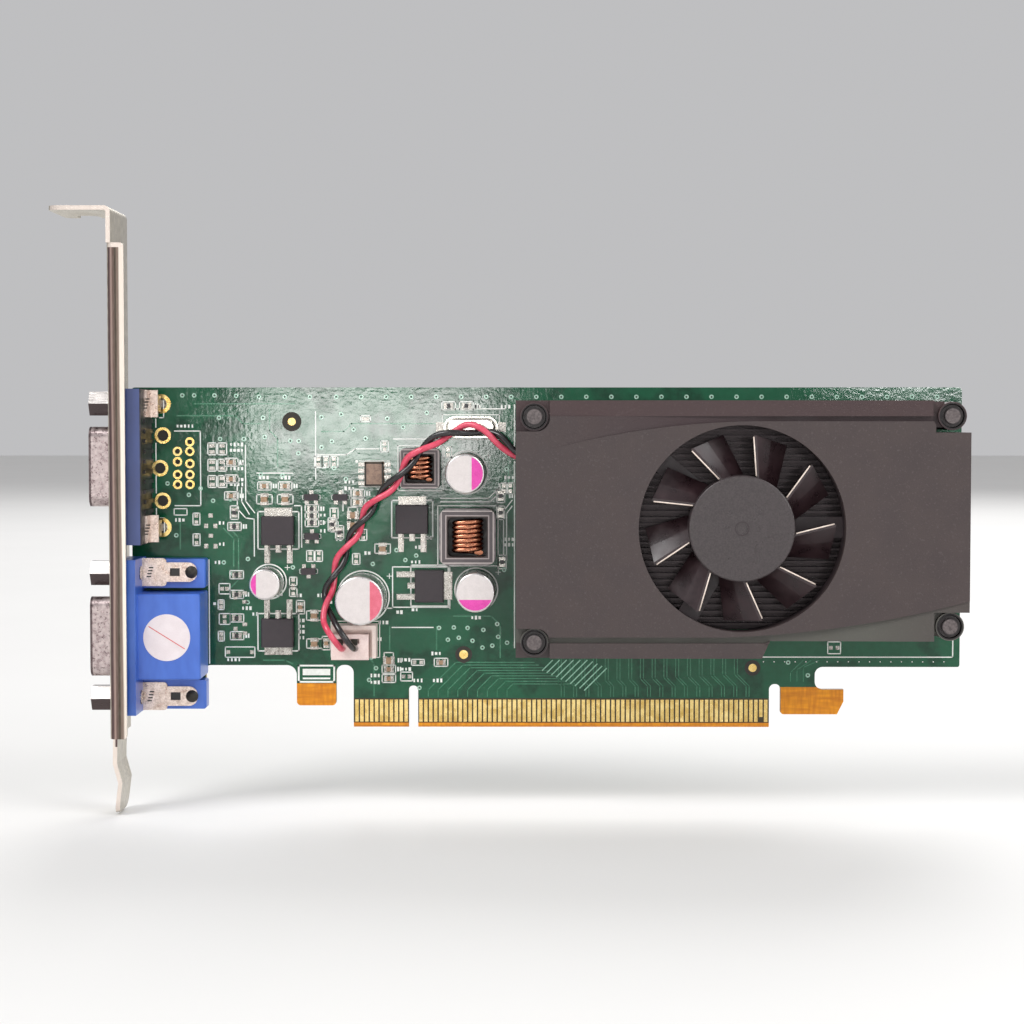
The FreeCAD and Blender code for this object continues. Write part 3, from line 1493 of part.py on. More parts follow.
def build_chip_parts():
    ends = []
    for label, places in (("ceramic_capacitors", CERAMICS), ("chip_resistors", RESISTORS)):
        middles = []
        for index, (x, y, flat, scale) in enumerate(places):
            middle, caps = chip_part(f"{label}_{index}", x, y, flat, scale)
            middles.append(middle)
            ends += caps
        finish(label, group(label + "_all", *middles))
    finish("chip_terminals", group("chip_terminals_all", *ends))


# ---- fan lead -----------------------------------------------------------------------------------

PLUG_TOP = 7.40

# The twisted pair's middle line and half the gap between the wires; each place is a quarter
# turn on from the last: red on the left, over, on the right, under.
PAIR = [
    (17.50, 58.50, 8.10, 0.95),
    (14.90, 60.20, 7.60, 1.00),
    (11.40, 60.75, 7.30, 1.15),
    (8.20, 59.90, 7.30, 1.00),
    (4.90, 58.50, 7.40, 1.00),
    (1.90, 56.50, 7.50, 1.00),
    (-0.40, 54.20, 7.40, 1.00),
    (-2.00, 51.50, 7.10, 1.00),
    (-4.40, 48.95, 6.70, 1.00),
    (-7.10, 46.50, 6.10, 1.00),
    (-8.80, 44.30, 5.50, 1.00),
    (-10.00, 42.00, 5.00, 1.00),
    (-11.60, 39.50, 4.70, 1.00),
    (-13.10, 37.00, 4.60, 1.00),
    (-14.50, 34.10, 4.60, 1.05),
    (-15.70, 31.10, 4.70, 1.00),
    (-16.80, 28.20, 5.30, 0.95),
    (-17.30, 25.30, 6.80, 1.25),
    (-16.60, 22.70, 9.00, 1.00),
]
RED_START = [(25.00, 54.60, 7.50), (22.70, 54.60, 7.50), (20.10, 55.30, 7.60)]
BLACK_START = [(25.00, 54.90, 8.90), (22.70, 54.90, 8.90), (20.30, 56.30, 9.00)]
RED_END = [
    (-16.75, 21.10, 11.10),
    (-15.50, 19.25, 11.70),
    (-14.40, 17.65, 10.95),
    (-13.80, 16.70, 9.30),
    (-13.80, 16.70, PLUG_TOP),
]
BLACK_END = [
    (-14.40, 21.10, 11.10),
    (-13.05, 19.25, 11.70),
    (-11.90, 17.60, 10.95),
    (-11.26, 16.70, 9.30),
    (-11.26, 16.70, PLUG_TOP),
]


def twisted(middle):
    """The two wires of a twisted pair about its middle line."""
    first = []
    second = []
    for index, (x, y, z, gap) in enumerate(middle):
        before = middle[max(index - 1, 0)]
        after = middle[min(index + 1, len(middle) - 1)]
        heading = FreeCAD.Vector(after[0] - before[0], after[1] - before[1], 0).normalize()
        left = VERTICAL.cross(heading)
        offset = (left, VERTICAL, -left, -VERTICAL)[index % 4] * gap
        place = FreeCAD.Vector(x, y, z)
        first.append(tuple(place + offset))
        second.append(tuple(place - offset))
    return first, second


def build_header():
    """A two-way header with a stepped wall on two sides, its pins, and the plug on them."""
    floor = span("header_floor", (-16.30, 14.60, "board_half"), (-7.25, 21.15, 3.2))
    back = span("header_back", (-16.30, 20.25, "board_half"), (-7.25, 21.15, 6.2))
    side = span("header_side", (-8.05, 14.60, "board_half"), (-7.25, 21.15, 6.2))
    ledges = [
        span("header_ledge_back", (-16.30, 19.60, "board_half"), (-7.25, 20.30, 5.0)),
        span("header_ledge_side", (-8.60, 14.60, "board_half"), (-8.00, 21.15, 5.0)),
    ]
    blank = fuse("header_blank", floor, back, side, *ledges)
    holes = [rod(f"header_hole_{i}", (x, y, 0), 0.40, 4) for i, (x, y) in enumerate(HEADER_PINS)]
    finish("fan_header", cut("header", blank, *holes))
    pins = []
    cavities = []
    for index, (x, y) in enumerate(HEADER_PINS):
        low = (x - 0.27, y - 0.27, "-board_half - 1.5")
        pins.append(box(f"header_pin_{index}", low, (0.54, 0.54, "board_half + 1.5 + 5.6")))
        cavities.append(rod(f"plug_cavity_{index}", (x, y, 3), 0.42, 3.2))
    finish("header_pins", group("header_pins_all", *pins))
    plug = span("plug_block", (-16.15, 14.35, 3.25), (-8.65, 19.50, PLUG_TOP))
    plug = rounded("plug_soft", plug, [(near(z=PLUG_TOP), 0.25)])
    windows = []
    for index, (x, y) in enumerate(HEADER_PINS):
        windows.append(box(f"plug_window_{index}", (x - 0.8, y + 0.95, PLUG_TOP - 1.2), (1.6, 1.0, 2)))
    finish("fan_plug", cut("plug", plug, *cavities, *windows))


def build_fan_lead():
    sleeve = span("lead_sleeve", (25.00, 53.55, 6.85), (47.80, 55.95, 9.65))
    sleeve = rounded("lead_sleeve_soft", sleeve, [(along("x"), 0.8)])
    finish("fan_lead_sleeve", group("fan_lead_sleeve_all", sleeve))
    red_lay, black_lay = twisted(PAIR)
    routes = (
        ("fan_wire_red", RED_START + red_lay + RED_END),
        ("fan_wire_black", BLACK_START + black_lay + BLACK_END),
    )
    for label, route in routes:
        wire = doc.addObject("Part::Feature", label + "_tube")
        wire.Shape = tube(route, DIMS["wire"])
        finish(label, wire)


# ---- build, check and write -----------------------------------------------------------------------


def check_document():
    for thing in doc.Objects:
        if {"Invalid", "Error"} & set(thing.State):
            raise RuntimeError(f"{thing.Name} failed: {thing.State}")
    for piece in pieces:
        if piece.Shape.isNull() or not piece.Shape.isValid():
            raise RuntimeError(f"{piece.Label} has no valid shape")


def main():
    build_pcb()
    build_edge_contacts()
    build_bracket()
    build_upper_connector()
    build_lower_connector()
    build_jackscrews()
    build_sticker()
    build_cover()
    build_heatsink()
    build_processor()
    build_fan_frame()
    build_fan_screws()
    build_motor()
    build_impeller()
    build_push_pins()
    build_capacitors()
    build_inductors()
    build_regulators()
    build_crystal()
    build_chip()
    build_transistors()
    build_chip_parts()
    build_header()
    build_fan_lead()
    doc.recompute()
    check_document()
    os.makedirs("parts", exist_ok=True)
    for piece in pieces:
        piece.Shape.exportStep(f"parts/{piece.Label}.step")
        print(f"{piece.Label}: {len(piece.Shape.Solids)} solids, {piece.Shape.Volume:.2f} mm3")


main()
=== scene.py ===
import json
import math
import random

import bmesh
import bpy
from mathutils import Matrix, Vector


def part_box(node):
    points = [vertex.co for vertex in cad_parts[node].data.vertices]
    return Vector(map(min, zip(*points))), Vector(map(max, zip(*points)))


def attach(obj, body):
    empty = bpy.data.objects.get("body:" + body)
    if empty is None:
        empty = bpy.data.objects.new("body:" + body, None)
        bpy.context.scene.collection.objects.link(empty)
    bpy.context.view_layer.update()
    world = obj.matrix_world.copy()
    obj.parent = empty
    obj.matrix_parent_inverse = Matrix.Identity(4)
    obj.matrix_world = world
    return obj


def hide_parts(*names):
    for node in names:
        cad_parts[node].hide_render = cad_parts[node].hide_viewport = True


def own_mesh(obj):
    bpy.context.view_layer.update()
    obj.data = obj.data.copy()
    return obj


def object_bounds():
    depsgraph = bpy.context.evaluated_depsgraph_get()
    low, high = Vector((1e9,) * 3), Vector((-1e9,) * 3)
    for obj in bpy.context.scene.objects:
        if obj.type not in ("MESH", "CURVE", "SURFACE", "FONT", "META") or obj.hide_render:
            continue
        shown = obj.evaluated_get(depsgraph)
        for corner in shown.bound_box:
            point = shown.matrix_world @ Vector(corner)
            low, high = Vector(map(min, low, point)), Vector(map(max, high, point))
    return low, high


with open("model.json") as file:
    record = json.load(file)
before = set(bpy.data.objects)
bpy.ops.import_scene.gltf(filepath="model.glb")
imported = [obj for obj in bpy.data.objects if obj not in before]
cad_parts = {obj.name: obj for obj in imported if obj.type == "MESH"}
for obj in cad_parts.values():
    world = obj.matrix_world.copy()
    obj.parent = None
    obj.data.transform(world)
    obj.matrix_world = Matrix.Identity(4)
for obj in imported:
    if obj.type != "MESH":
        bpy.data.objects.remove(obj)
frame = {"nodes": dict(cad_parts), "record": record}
cad_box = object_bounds()
nodes = frame["nodes"]
random.seed(7)

MM = 0.001


def in_mm(node):
    """A node's lowest and highest corners, in millimetres."""
    low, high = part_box(node)
    return low / MM, high / MM


def middle(low, high):
    return (low + high) / 2


FACE = in_mm("pcb")[0].y  # component side, facing -Y
BACK = in_mm("pcb")[1].y  # solder side
FAN = middle(*in_mm("fan_circuit_board"))
PINS = [tuple(middle(*in_mm(f"push_pin_{number}")).xz) for number in (1, 2, 3, 4)]
# heights of the video connectors' clips, and (x, z) of their holes and of the posts in them
LOWER_CLIPS = (31.85, 6.85)
UPPER_CLIPS = (65.6, 40.6)
CLIP_HOLES = [(-50.9, 40.6), (-50.9, 65.6), (-45.6, 6.85), (-45.6, 31.85)]
CLIP_POSTS = [(-50.9, 40.605), (-50.9, 65.595), (-45.6, 6.855), (-45.6, 31.845)]


def islands(node):
    """The separate solids of a CAD node, as (low, high) corners in millimetres."""
    mesh = nodes[node].data
    key_of = [tuple(round(c / MM, 3) for c in v.co) for v in mesh.vertices]
    parent = {key: key for key in key_of}

    def root(key):
        while parent[key] != key:
            parent[key] = parent[parent[key]]
            key = parent[key]
        return key

    for edge in mesh.edges:
        first, second = root(key_of[edge.vertices[0]]), root(key_of[edge.vertices[1]])
        parent[first] = second
    groups = {}
    for key in parent:
        groups.setdefault(root(key), []).append(key)
    found = []
    for keys in groups.values():
        low = Vector(min(k[axis] for k in keys) for axis in range(3))
        high = Vector(max(k[axis] for k in keys) for axis in range(3))
        found.append((low, high))
    return sorted(found, key=lambda pair: (pair[0].x, pair[0].z))


def link(name, data):
    """A new object for the data, linked into the scene."""
    made = bpy.data.objects.new(name, data)
    bpy.context.scene.collection.objects.link(made)
    return made


def build(name, art):
    """A new mesh object from a finished bmesh."""
    data = bpy.data.meshes.new(name)
    art.to_mesh(data)
    art.free()
    return link(name, data)


def stand_in(name, data, node):
    """Shows the data in place of a CAD node."""
    made = link(name, data)
    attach(made, "card")
    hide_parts(node)
    return made


# ---- camera ----

LENS, SENSOR = 76.4, 36  # millimetres
EYE, LOOK_AT = (0.0226, -0.440, 0.063), (0.0200, 0, 0.0437)


def aim(thing, at):
    """Turns a camera or a lamp to face a place."""
    thing.rotation_euler = (Vector(at) - thing.location).to_track_quat("-Z", "Y").to_euler()


camera_data = bpy.data.cameras.new("camera")
camera_data.lens = LENS
camera_data.sensor_width = SENSOR
camera = link("camera", camera_data)
camera.location = EYE
aim(camera, LOOK_AT)
bpy.context.scene.camera = camera


# ---- fan lead: two free wires twisted together ----

WIRE = 1.25
# middle line of the pair as (along the card, up the card, out of the board, half gap); each
# place is a quarter turn on from the last: red on the left, over, on the right, under
PAIR = [
    (17.50, 58.50, 8.10, 0.95),
    (14.90, 60.20, 7.60, 1.00),
    (11.40, 60.75, 7.30, 1.15),
    (8.20, 59.90, 7.30, 1.00),
    (4.90, 58.50, 7.40, 1.00),
    (1.90, 56.50, 7.50, 1.00),
    (-0.40, 54.20, 7.40, 1.00),
    (-2.00, 51.50, 7.10, 1.00),
    (-4.40, 48.95, 6.70, 1.00),
    (-7.10, 46.50, 6.10, 1.00),
    (-8.80, 44.30, 5.50, 1.00),
    (-10.00, 42.00, 5.00, 1.00),
    (-11.60, 39.50, 4.70, 1.00),
    (-13.10, 37.00, 4.60, 1.00),
    (-14.50, 34.10, 4.60, 1.05),
    (-15.70, 31.10, 4.70, 1.00),
    (-16.80, 28.20, 5.30, 0.95),
    (-17.30, 25.30, 6.80, 1.25),
    (-16.60, 22.70, 9.00, 1.00),
]
RED_START = [(25.0, 54.6, 7.5), (22.7, 54.6, 7.5), (20.1, 55.3, 7.6)]
BLACK_START = [(25.0, 54.9, 8.9), (22.7, 54.9, 8.9), (20.3, 56.3, 9.0)]
RED_END = [
    (-16.75, 21.1, 11.1), (-15.5, 19.25, 11.7), (-14.4, 17.65, 10.95), (-13.8, 16.7, 9.3),
    (-13.8, 16.7, 7.4),
]
BLACK_END = [
    (-14.4, 21.1, 11.1), (-13.05, 19.25, 11.7), (-11.9, 17.6, 10.95), (-11.26, 16.7, 9.3),
    (-11.26, 16.7, 7.4),
]


def pair_route(side):
    """One wire's places round the pair's middle line; side is 1 for red, -1 for black."""
    route = []
    for index, (x, y, z, gap) in enumerate(PAIR):
        before = Vector(PAIR[max(index - 1, 0)][:2])
        after = Vector(PAIR[min(index + 1, len(PAIR) - 1)][:2])
        heading = (after - before).normalized()
        left = Vector((-heading.y, heading.x, 0))
        up = Vector((0, 0, 1))
        offset = (left, up, -left, -up)[index % 4] * gap * side
        route.append(Vector((x, y, z)) + offset)
    return route


def wire(name, node, start, side, end):
    """A smooth NURBS wire through the card's lying coordinates, stood up into the frame."""
    places = [Vector(p) for p in start] + pair_route(side) + [Vector(p) for p in end]
    data = bpy.data.curves.new(name, "CURVE")
    data.dimensions = "3D"
    data.bevel_depth = WIRE / 2
    data.bevel_resolution = 5
    data.use_fill_caps = True
    data.resolution_u = 8
    spline = data.splines.new("NURBS")
    spline.points.add(len(places) - 1)
    for point, place in zip(spline.points, places):
        point.co = (place.x * MM, -place.z * MM, place.y * MM, 1)
        point.radius = MM
    spline.order_u = 3
    spline.use_endpoint_u = True
    return stand_in(name, data, node)


red_wire = wire("lead_red", "fan_wire_red", RED_START, 1, RED_END)
black_wire = wire("lead_black", "fan_wire_black", BLACK_START, -1, BLACK_END)


# ---- materials ----

FAR = 1000.0  # beyond any place on the card, in millimetres


def tone(*channels):
    """A screen colour (0 to 255) as the linear colour that the shader wants."""
    linear = [((c / 255 + 0.055) / 1.055) ** 2.4 if c > 10 else c / 255 / 12.92 for c in channels]
    return (*linear, 1)


class Shader:
    """A principled material whose colour, roughness and bump come from noise in millimetres."""

    def __init__(self, name):
        self.material = bpy.data.materials.new(name)
        self.material.use_nodes = True
        self.tree = self.material.node_tree
        self.bsdf = self.tree.nodes["Principled BSDF"]
        coordinates = self.add("ShaderNodeTexCoord")
        scale = self.add("ShaderNodeMapping")
        scale.inputs["Scale"].default_value = (1 / MM, 1 / MM, 1 / MM)
        self.join(coordinates.outputs["Object"], scale.inputs["Vector"])
        self.place = scale.outputs["Vector"]

    def add(self, kind, **settings):
        node = self.tree.nodes.new(kind)
        for key, value in settings.items():
            setattr(node, key, value)
        return node

    def join(self, source, target):
        self.tree.links.new(source, target)

    def noise(self, grain, detail=3.0, stretch=(1, 1, 1)):
        """Noise whose lumps are about grain millimetres across."""
        mapping = self.add("ShaderNodeMapping")
        mapping.inputs["Scale"].default_value = [1 / grain / s for s in stretch]
        self.join(self.place, mapping.inputs["Vector"])
        node = self.add("ShaderNodeTexNoise")
        node.inputs["Scale"].default_value = 1
        node.inputs["Detail"].default_value = detail
        self.join(mapping.outputs["Vector"], node.inputs["Vector"])
        return node.outputs["Fac"]

    def spread(self, source, low, high, start=0.35, end=0.65):
        """Maps start..end of the source onto low..high."""
        node = self.add("ShaderNodeMapRange")
        node.inputs["From Min"].default_value = start
        node.inputs["From Max"].default_value = end
        node.inputs["To Min"].default_value = low
        node.inputs["To Max"].default_value = high
        self.join(source, node.inputs["Value"])
        return node.outputs["Result"]

    def blend(self, amount, first, second):
        """Mixes two colours, each a screen colour or a socket, by a socket."""
        node = self.add("ShaderNodeMix", data_type="RGBA")
        self.join(amount, node.inputs["Factor"])
        for socket, colour in ((node.inputs[6], first), (node.inputs[7], second)):
            if isinstance(colour, bpy.types.NodeSocket):
                self.join(colour, socket)
            else:
                socket.default_value = tone(*colour)
        return node.outputs[2]

    def shades(self, source, dark, light, *ends):
        """Goes from a dark to a light screen colour as the source rises."""
        return self.blend(self.spread(source, 0, 1, *ends), dark, light)

    def math(self, operation, first, second=0.0):
        node = self.add("ShaderNodeMath", operation=operation)
        for socket, value in zip(node.inputs, (first, second)):
            if isinstance(value, bpy.types.NodeSocket):
                self.join(value, socket)
            else:
                socket.default_value = value
        return node.outputs[0]

    def times(self, first, second):
        return self.math("MULTIPLY", first, second)

    def under(self, value, limit):
        return self.math("LESS_THAN", value, limit)

    def over(self, value, limit):
        return self.math("GREATER_THAN", value, limit)

    def axis(self, name):
        """The place along one axis, in millimetres."""
        node = self.add("ShaderNodeSeparateXYZ")
        self.join(self.place, node.inputs["Vector"])
        return node.outputs[name]

    def facing(self, name):
        """One part of the face's own direction."""
        geometry = self.add("ShaderNodeNewGeometry")
        node = self.add("ShaderNodeSeparateXYZ")
        self.join(geometry.outputs["True Normal"], node.inputs["Vector"])
        return node.outputs[name]

    def within(self, name, low, high):
        """One where a coordinate lies between two places, nought elsewhere."""
        place = self.axis(name)
        return self.times(self.over(place, low), self.under(place, high))

    def away(self, places):
        """The distance along the face to the nearest of the (x, z) places."""
        nearest = FAR
        for x, z in places:
            run = self.math("SUBTRACT", self.axis("X"), x)
            rise = self.math("SUBTRACT", self.axis("Z"), z)
            square = self.math("ADD", self.times(run, run), self.times(rise, rise))
            nearest = self.math("MINIMUM", nearest, self.math("SQRT", square))
        return nearest

    def surface(self, colour, roughness, height, depth, strength=0.5, metal=0.0, coat=0.0):
        """Joins colour, roughness and a bump of that depth in millimetres; gives the material."""
        self.join(colour, self.bsdf.inputs["Base Color"])
        self.join(roughness, self.bsdf.inputs["Roughness"])
        bump = self.add("ShaderNodeBump")
        bump.inputs["Distance"].default_value = depth * MM
        bump.inputs["Strength"].default_value = strength
        self.join(height, bump.inputs["Height"])
        self.join(bump.outputs["Normal"], self.bsdf.inputs["Normal"])
        self.bsdf.inputs["Metallic"].default_value = metal
        self.bsdf.inputs["Coat Weight"].default_value = coat
        return self.material


def plain(name, dark, light, grain, rough, fine, metal=0.0, depth=0.01, coat=0.0,
          stretch=(1, 1, 1)):
    """The common finish: two shades in lumps of one grain, and a finer bump."""
    made = Shader(name)
    lumps = made.noise(grain, 4.0, stretch)
    grit = made.noise(fine, 2.0, stretch)
    shade = made.math("ADD", made.times(lumps, 0.6), made.times(grit, 0.4))
    if coat:
        made.bsdf.inputs["Coat Roughness"].default_value = 0.08
    colour = made.shades(shade, dark, light)
    return made.surface(colour, made.spread(lumps, *rough), grit, depth, 0.5, metal, coat)


def brushed(name, dark, light, stretch, rough=(0.22, 0.4)):
    """Metal with marks drawn out along one axis."""
    return plain(name, dark, light, 3.0, rough, 0.12, 1.0, 0.006, 0.0, stretch)


HOOK_X, HOOK_TOP = 72.6, 8.2  # the retention hook is past this X and below this Z
TAB_X, TAB_TOP = (-30.0, -14.0), 8.9
BEVEL_TOP, CONTACT_TOP = 0.9, 5.9  # the bare strip under the contacts, and their upper ends


def board_material():
    """Green mask; bare hook, tab foot and bevel; dull cut edges; dark gaps between contacts."""
    made = Shader("board")
    weave = made.times(made.noise(0.6, 1.0, (6, 1, 1)), made.noise(0.6, 1.0, (1, 1, 6)))
    mask = made.shades(made.noise(9.0, 1.0), (8, 62, 40), (16, 82, 54), 0.44, 0.50)
    mask = made.blend(made.spread(made.noise(1.2, 3.0), 0, 0.35), mask, (26, 96, 66))
    bare = made.shades(weave, (196, 114, 2), (230, 150, 12), 0.1, 0.45)
    cut = made.shades(weave, (122, 104, 62), (160, 142, 92), 0.1, 0.45)
    x, z = made.axis("X"), made.axis("Z")
    hook = made.times(made.over(x, HOOK_X), made.under(z, HOOK_TOP))
    tab = made.times(made.within("X", *TAB_X), made.under(z, TAB_TOP))
    gaps = made.times(made.within("Z", BEVEL_TOP, CONTACT_TOP), made.under(x, HOOK_X))
    edge = made.under(made.math("ABSOLUTE", made.facing("Y")), 0.5)
    uncovered = made.math("MAXIMUM", hook, tab)
    for part in (made.under(z, BEVEL_TOP), edge):
        uncovered = made.math("MAXIMUM", uncovered, part)
    colour = made.blend(gaps, mask, (58, 50, 30))
    colour = made.blend(edge, made.blend(uncovered, colour, bare), cut)
    ripple = made.math("ADD", made.noise(0.9, 2.0), made.times(weave, 0.6))
    gloss = made.spread(made.noise(3.0), 0.07, 0.12)
    rough = made.math("MAXIMUM", gloss, made.times(uncovered, 0.5))
    made.bsdf.inputs["Specular IOR Level"].default_value = 0.42
    return made.surface(colour, rough, ripple, 0.024, 0.45)


PANEL_FOOT, PANEL_SPLIT, PANEL_TOP, RAIL_TOP = 18.4, 41, 63.1, 70
PIN_WELL_SHADE = 2.6  # radius of the painted shade in the well round each push pin


def cover_material():
    """Brownish grey moulding with spark texture and pale specks; painted reflections on its sunken
    wedges and painted shade in the wells round the pins.
    """
    made = Shader("cover_plastic")
    grit = made.noise(0.28, 2.0)
    lumps = made.noise(6.0, 3.0)
    colour = made.shades(lumps, (60, 49, 49), (66, 55, 54))
    specks = made.spread(made.noise(0.42, 2.0), 0, 0.5, 0.60, 0.72)
    colour = made.blend(specks, colour, (84, 75, 74))
    colour = made.blend(made.spread(grit, 0.35, 0, 0.30, 0.45), colour, (46, 38, 40))
    plateau = in_mm("fan_cover")[0].y
    sunk = made.spread(made.axis("Y"), 0, 1, plateau + 0.02, plateau + 0.7)
    sunk = made.times(sunk, made.over(made.math("ABSOLUTE", made.facing("Y")), 0.99))
    sunk = made.times(sunk, made.within("Z", PANEL_FOOT, PANEL_TOP))
    # painted reflections on the sunken wedges: maroon on the upper one, pale greenish on the lower
    # one
    wedge_reflection = made.blend(made.within("Z", PANEL_SPLIT, FAR), (86, 88, 80), (50, 28, 34))
    colour = made.blend(made.times(sunk, 0.65), colour, wedge_reflection)
    rail = made.within("Z", PANEL_TOP, RAIL_TOP)
    colour = made.blend(made.times(rail, 0.4), colour, (62, 30, 34))
    # painted shade in the well round each pin
    colour = made.blend(made.under(made.away(PINS), PIN_WELL_SHADE), colour, (20, 13, 15))
    return made.surface(colour, made.spread(lumps, 0.46, 0.58), grit, 0.03, 0.6)


def shell_material():
    """Nickel-plated drawn steel, mottled, with small dark pits and a painted shade on the outer lip.
    """
    made = Shader("plated_shell")
    blotches = made.noise(1.1, 4.0)
    colour = made.shades(blotches, (160, 144, 144), (204, 190, 188))
    pits = made.spread(made.noise(0.45, 2.0), 0, 0.7, 0.60, 0.68)
    colour = made.blend(pits, colour, (80, 58, 62))
    mouth = in_mm("vga_upper_shell")[0].x
    # painted shade along the outer lip
    lip = made.within("X", mouth - 1, mouth + 0.45)
    colour = made.blend(made.times(lip, 0.8), colour, (56, 40, 44))
    return made.surface(colour, made.spread(blotches, 0.22, 0.42), blotches, 0.02, 0.4, metal=0.9)


RIBS_X, RIB_PITCH, RIB_GROOVE = (-53.1, -40), 3.2, 2.7


def violet_material():
    """The upper connector: blue violet in front; the ribbed face behind painted near-black as shade.
    """
    made = Shader("violet_plastic")
    flow = made.noise(5.0, 3.0, (1, 1, 3))
    colour = made.shades(flow, (58, 70, 118), (72, 86, 136))
    # painted shade: the ribbed rear face in shadow, near-black with slightly lighter rib lines
    ribs = made.over(made.math("PINGPONG", made.axis("Z"), RIB_PITCH), RIB_GROOVE)
    dark = made.blend(ribs, (26, 20, 24), (52, 44, 50))
    colour = made.blend(made.within("X", *RIBS_X), colour, dark)
    return made.surface(colour, made.spread(flow, 0.30, 0.42), made.noise(0.35, 2.0), 0.012, 0.4)


CLIP_SLOT_X, CLIP_SLOT_HALF = (-49.2, -45.4), 1.5


def blue_material():
    """The lower connector, with painted shade in the slots behind its two clips."""
    made = Shader("blue_plastic")
    flow = made.noise(5.0, 3.0, (1, 1, 3))
    colour = made.shades(flow, (50, 90, 178), (72, 114, 204))
    # painted shade in the slot behind each clip
    for z in LOWER_CLIPS:
        rows = made.within("Z", z - CLIP_SLOT_HALF, z + CLIP_SLOT_HALF)
        slot = made.times(rows, made.within("X", *CLIP_SLOT_X))
        colour = made.blend(slot, colour, (16, 13, 15))
    grit = made.noise(0.35, 2.0)
    return made.surface(colour, made.spread(flow, 0.30, 0.42), grit, 0.012, 0.4, coat=0.15)


FLANGE_WIDE, FLANGE_Z, STRIPE_SOFT = 3.2, (-2.5, 96.0), 0.12
# painted reflections on the flange's face: where each stripe starts, as a share of the flange's
# width, and its colour
REFLECTION_STRIPES = [
    (0.02, (80, 56, 60)),
    (0.24, (166, 140, 132)),
    (0.36, (96, 76, 70)),
    (0.50, (58, 48, 40)),
    (0.62, (124, 106, 96)),
    (0.78, (240, 228, 216)),
]


def bracket_material():
    """Bright zinc plate; on the front face of its long flange, painted reflections in brown, cream
    and olive bands, and a painted cream highlight on front faces beyond the flange's ends.
    """
    made = Shader("bracket_steel")
    drift = made.noise(9.0, 2.0, (1, 1, 9))
    grain = made.noise(0.15, 2.0, (1, 1, 12))
    colour = made.shades(grain, (150, 142, 128), (206, 198, 182))
    across = made.math("ADD", made.axis("X"), made.spread(drift, -0.25, 0.25))
    reflection_colour = (240, 226, 216)
    flange = in_mm("bracket")[1].x - FLANGE_WIDE
    for share, shade in REFLECTION_STRIPES:
        start = flange + share * FLANGE_WIDE
        step = made.spread(across, 0, 1, start - STRIPE_SOFT, start + STRIPE_SOFT)
        reflection_colour = made.blend(step, reflection_colour, shade)
    # front faces beyond the flange's ends get a painted cream highlight
    reflection_colour = made.blend(made.within("Z", *FLANGE_Z), (238, 224, 214), reflection_colour)
    # the painted reflections and highlight go only on faces turned to the front
    front = made.under(made.facing("Y"), -0.6)
    colour = made.blend(made.times(front, 0.9), colour, reflection_colour)
    return made.surface(colour, made.spread(drift, 0.26, 0.42), grain, 0.006, 0.4, metal=0.8)


def jackscrew_material():
    """Polished hexagons, with a painted highlight on the flats facing up and painted shade on the
    flats facing down.
    """
    made = Shader("screw_steel")
    marks = made.noise(0.4, 3.0, (8, 1, 1))
    colour = made.shades(marks, (170, 162, 160), (222, 216, 212))
    lean = made.facing("Z")
    # painted highlight on flats facing up, painted shade on flats facing down
    colour = made.blend(made.over(lean, 0.3), colour, (214, 208, 204))
    colour = made.blend(made.under(lean, -0.3), colour, (84, 74, 74))
    return made.surface(colour, made.spread(marks, 0.16, 0.3), marks, 0.006, 0.4, metal=0.9)


def fin_material():
    """Black anodised fins with a painted glint on the edges that face the front."""
    made = Shader("black_aluminium")
    grain = made.noise(0.2, 3.0, (12, 1, 1))
    crest = made.under(made.facing("Y"), -0.9)
    # painted glint on the fin edges that face the front
    edge_glint = made.times(crest, made.spread(grain, 0.3, 0.9))
    colour = made.blend(edge_glint, made.shades(grain, (14, 11, 12), (28, 24, 25)), (58, 49, 51))
    return made.surface(colour, made.spread(grain, 0.26, 0.4), grain, 0.006, 0.4, metal=0.6)


HUB = 10.55  # radius of the impeller's hub


def fan_material():
    """The hub matches the cover; the blades round it are darker and a little glossy."""
    made = Shader("fan_plastic")
    lumps = made.noise(3.0, 3.0)
    grit = made.noise(0.3, 2.0)
    hub = made.shades(grit, (50, 43, 44), (66, 58, 59))
    blade = made.shades(lumps, (36, 23, 26), (50, 34, 37))
    outer = made.over(made.away([(FAN.x, FAN.z)]), HUB)
    colour = made.blend(outer, hub, blade)
    return made.surface(colour, made.spread(lumps, 0.26, 0.38), grit, 0.01, 0.4)


PIN_CROWN = 1.45  # radius of the pale crown on a push pin's head; painted shade lies beyond it


def pin_material():
    """Nylon pins: a pale scuffed crown inside a rim painted nearly black as shade."""
    made = Shader("pin_nylon")
    scuffs = made.noise(0.5, 3.0)
    colour = made.shades(scuffs, (70, 61, 62), (104, 95, 94))
    rim = made.over(made.away(PINS), PIN_CROWN)
    # painted shade round the crown
    colour = made.blend(made.times(rim, 0.85), colour, (24, 16, 18))
    return made.surface(colour, made.spread(scuffs, 0.34, 0.5), scuffs, 0.04, 0.8)


# square bands of painted highlight and shade on an inductor block, as shares of its half width, from
# the rim inwards; the last is the painted shade inside the window
FERRITE_LIGHT_AND_SHADE = [
    (0.94, (186, 176, 172)),
    (0.90, (84, 76, 78)),
    (0.78, (166, 154, 152)),
    (0.74, (54, 40, 38)),
    (0.69, (30, 16, 14)),
]


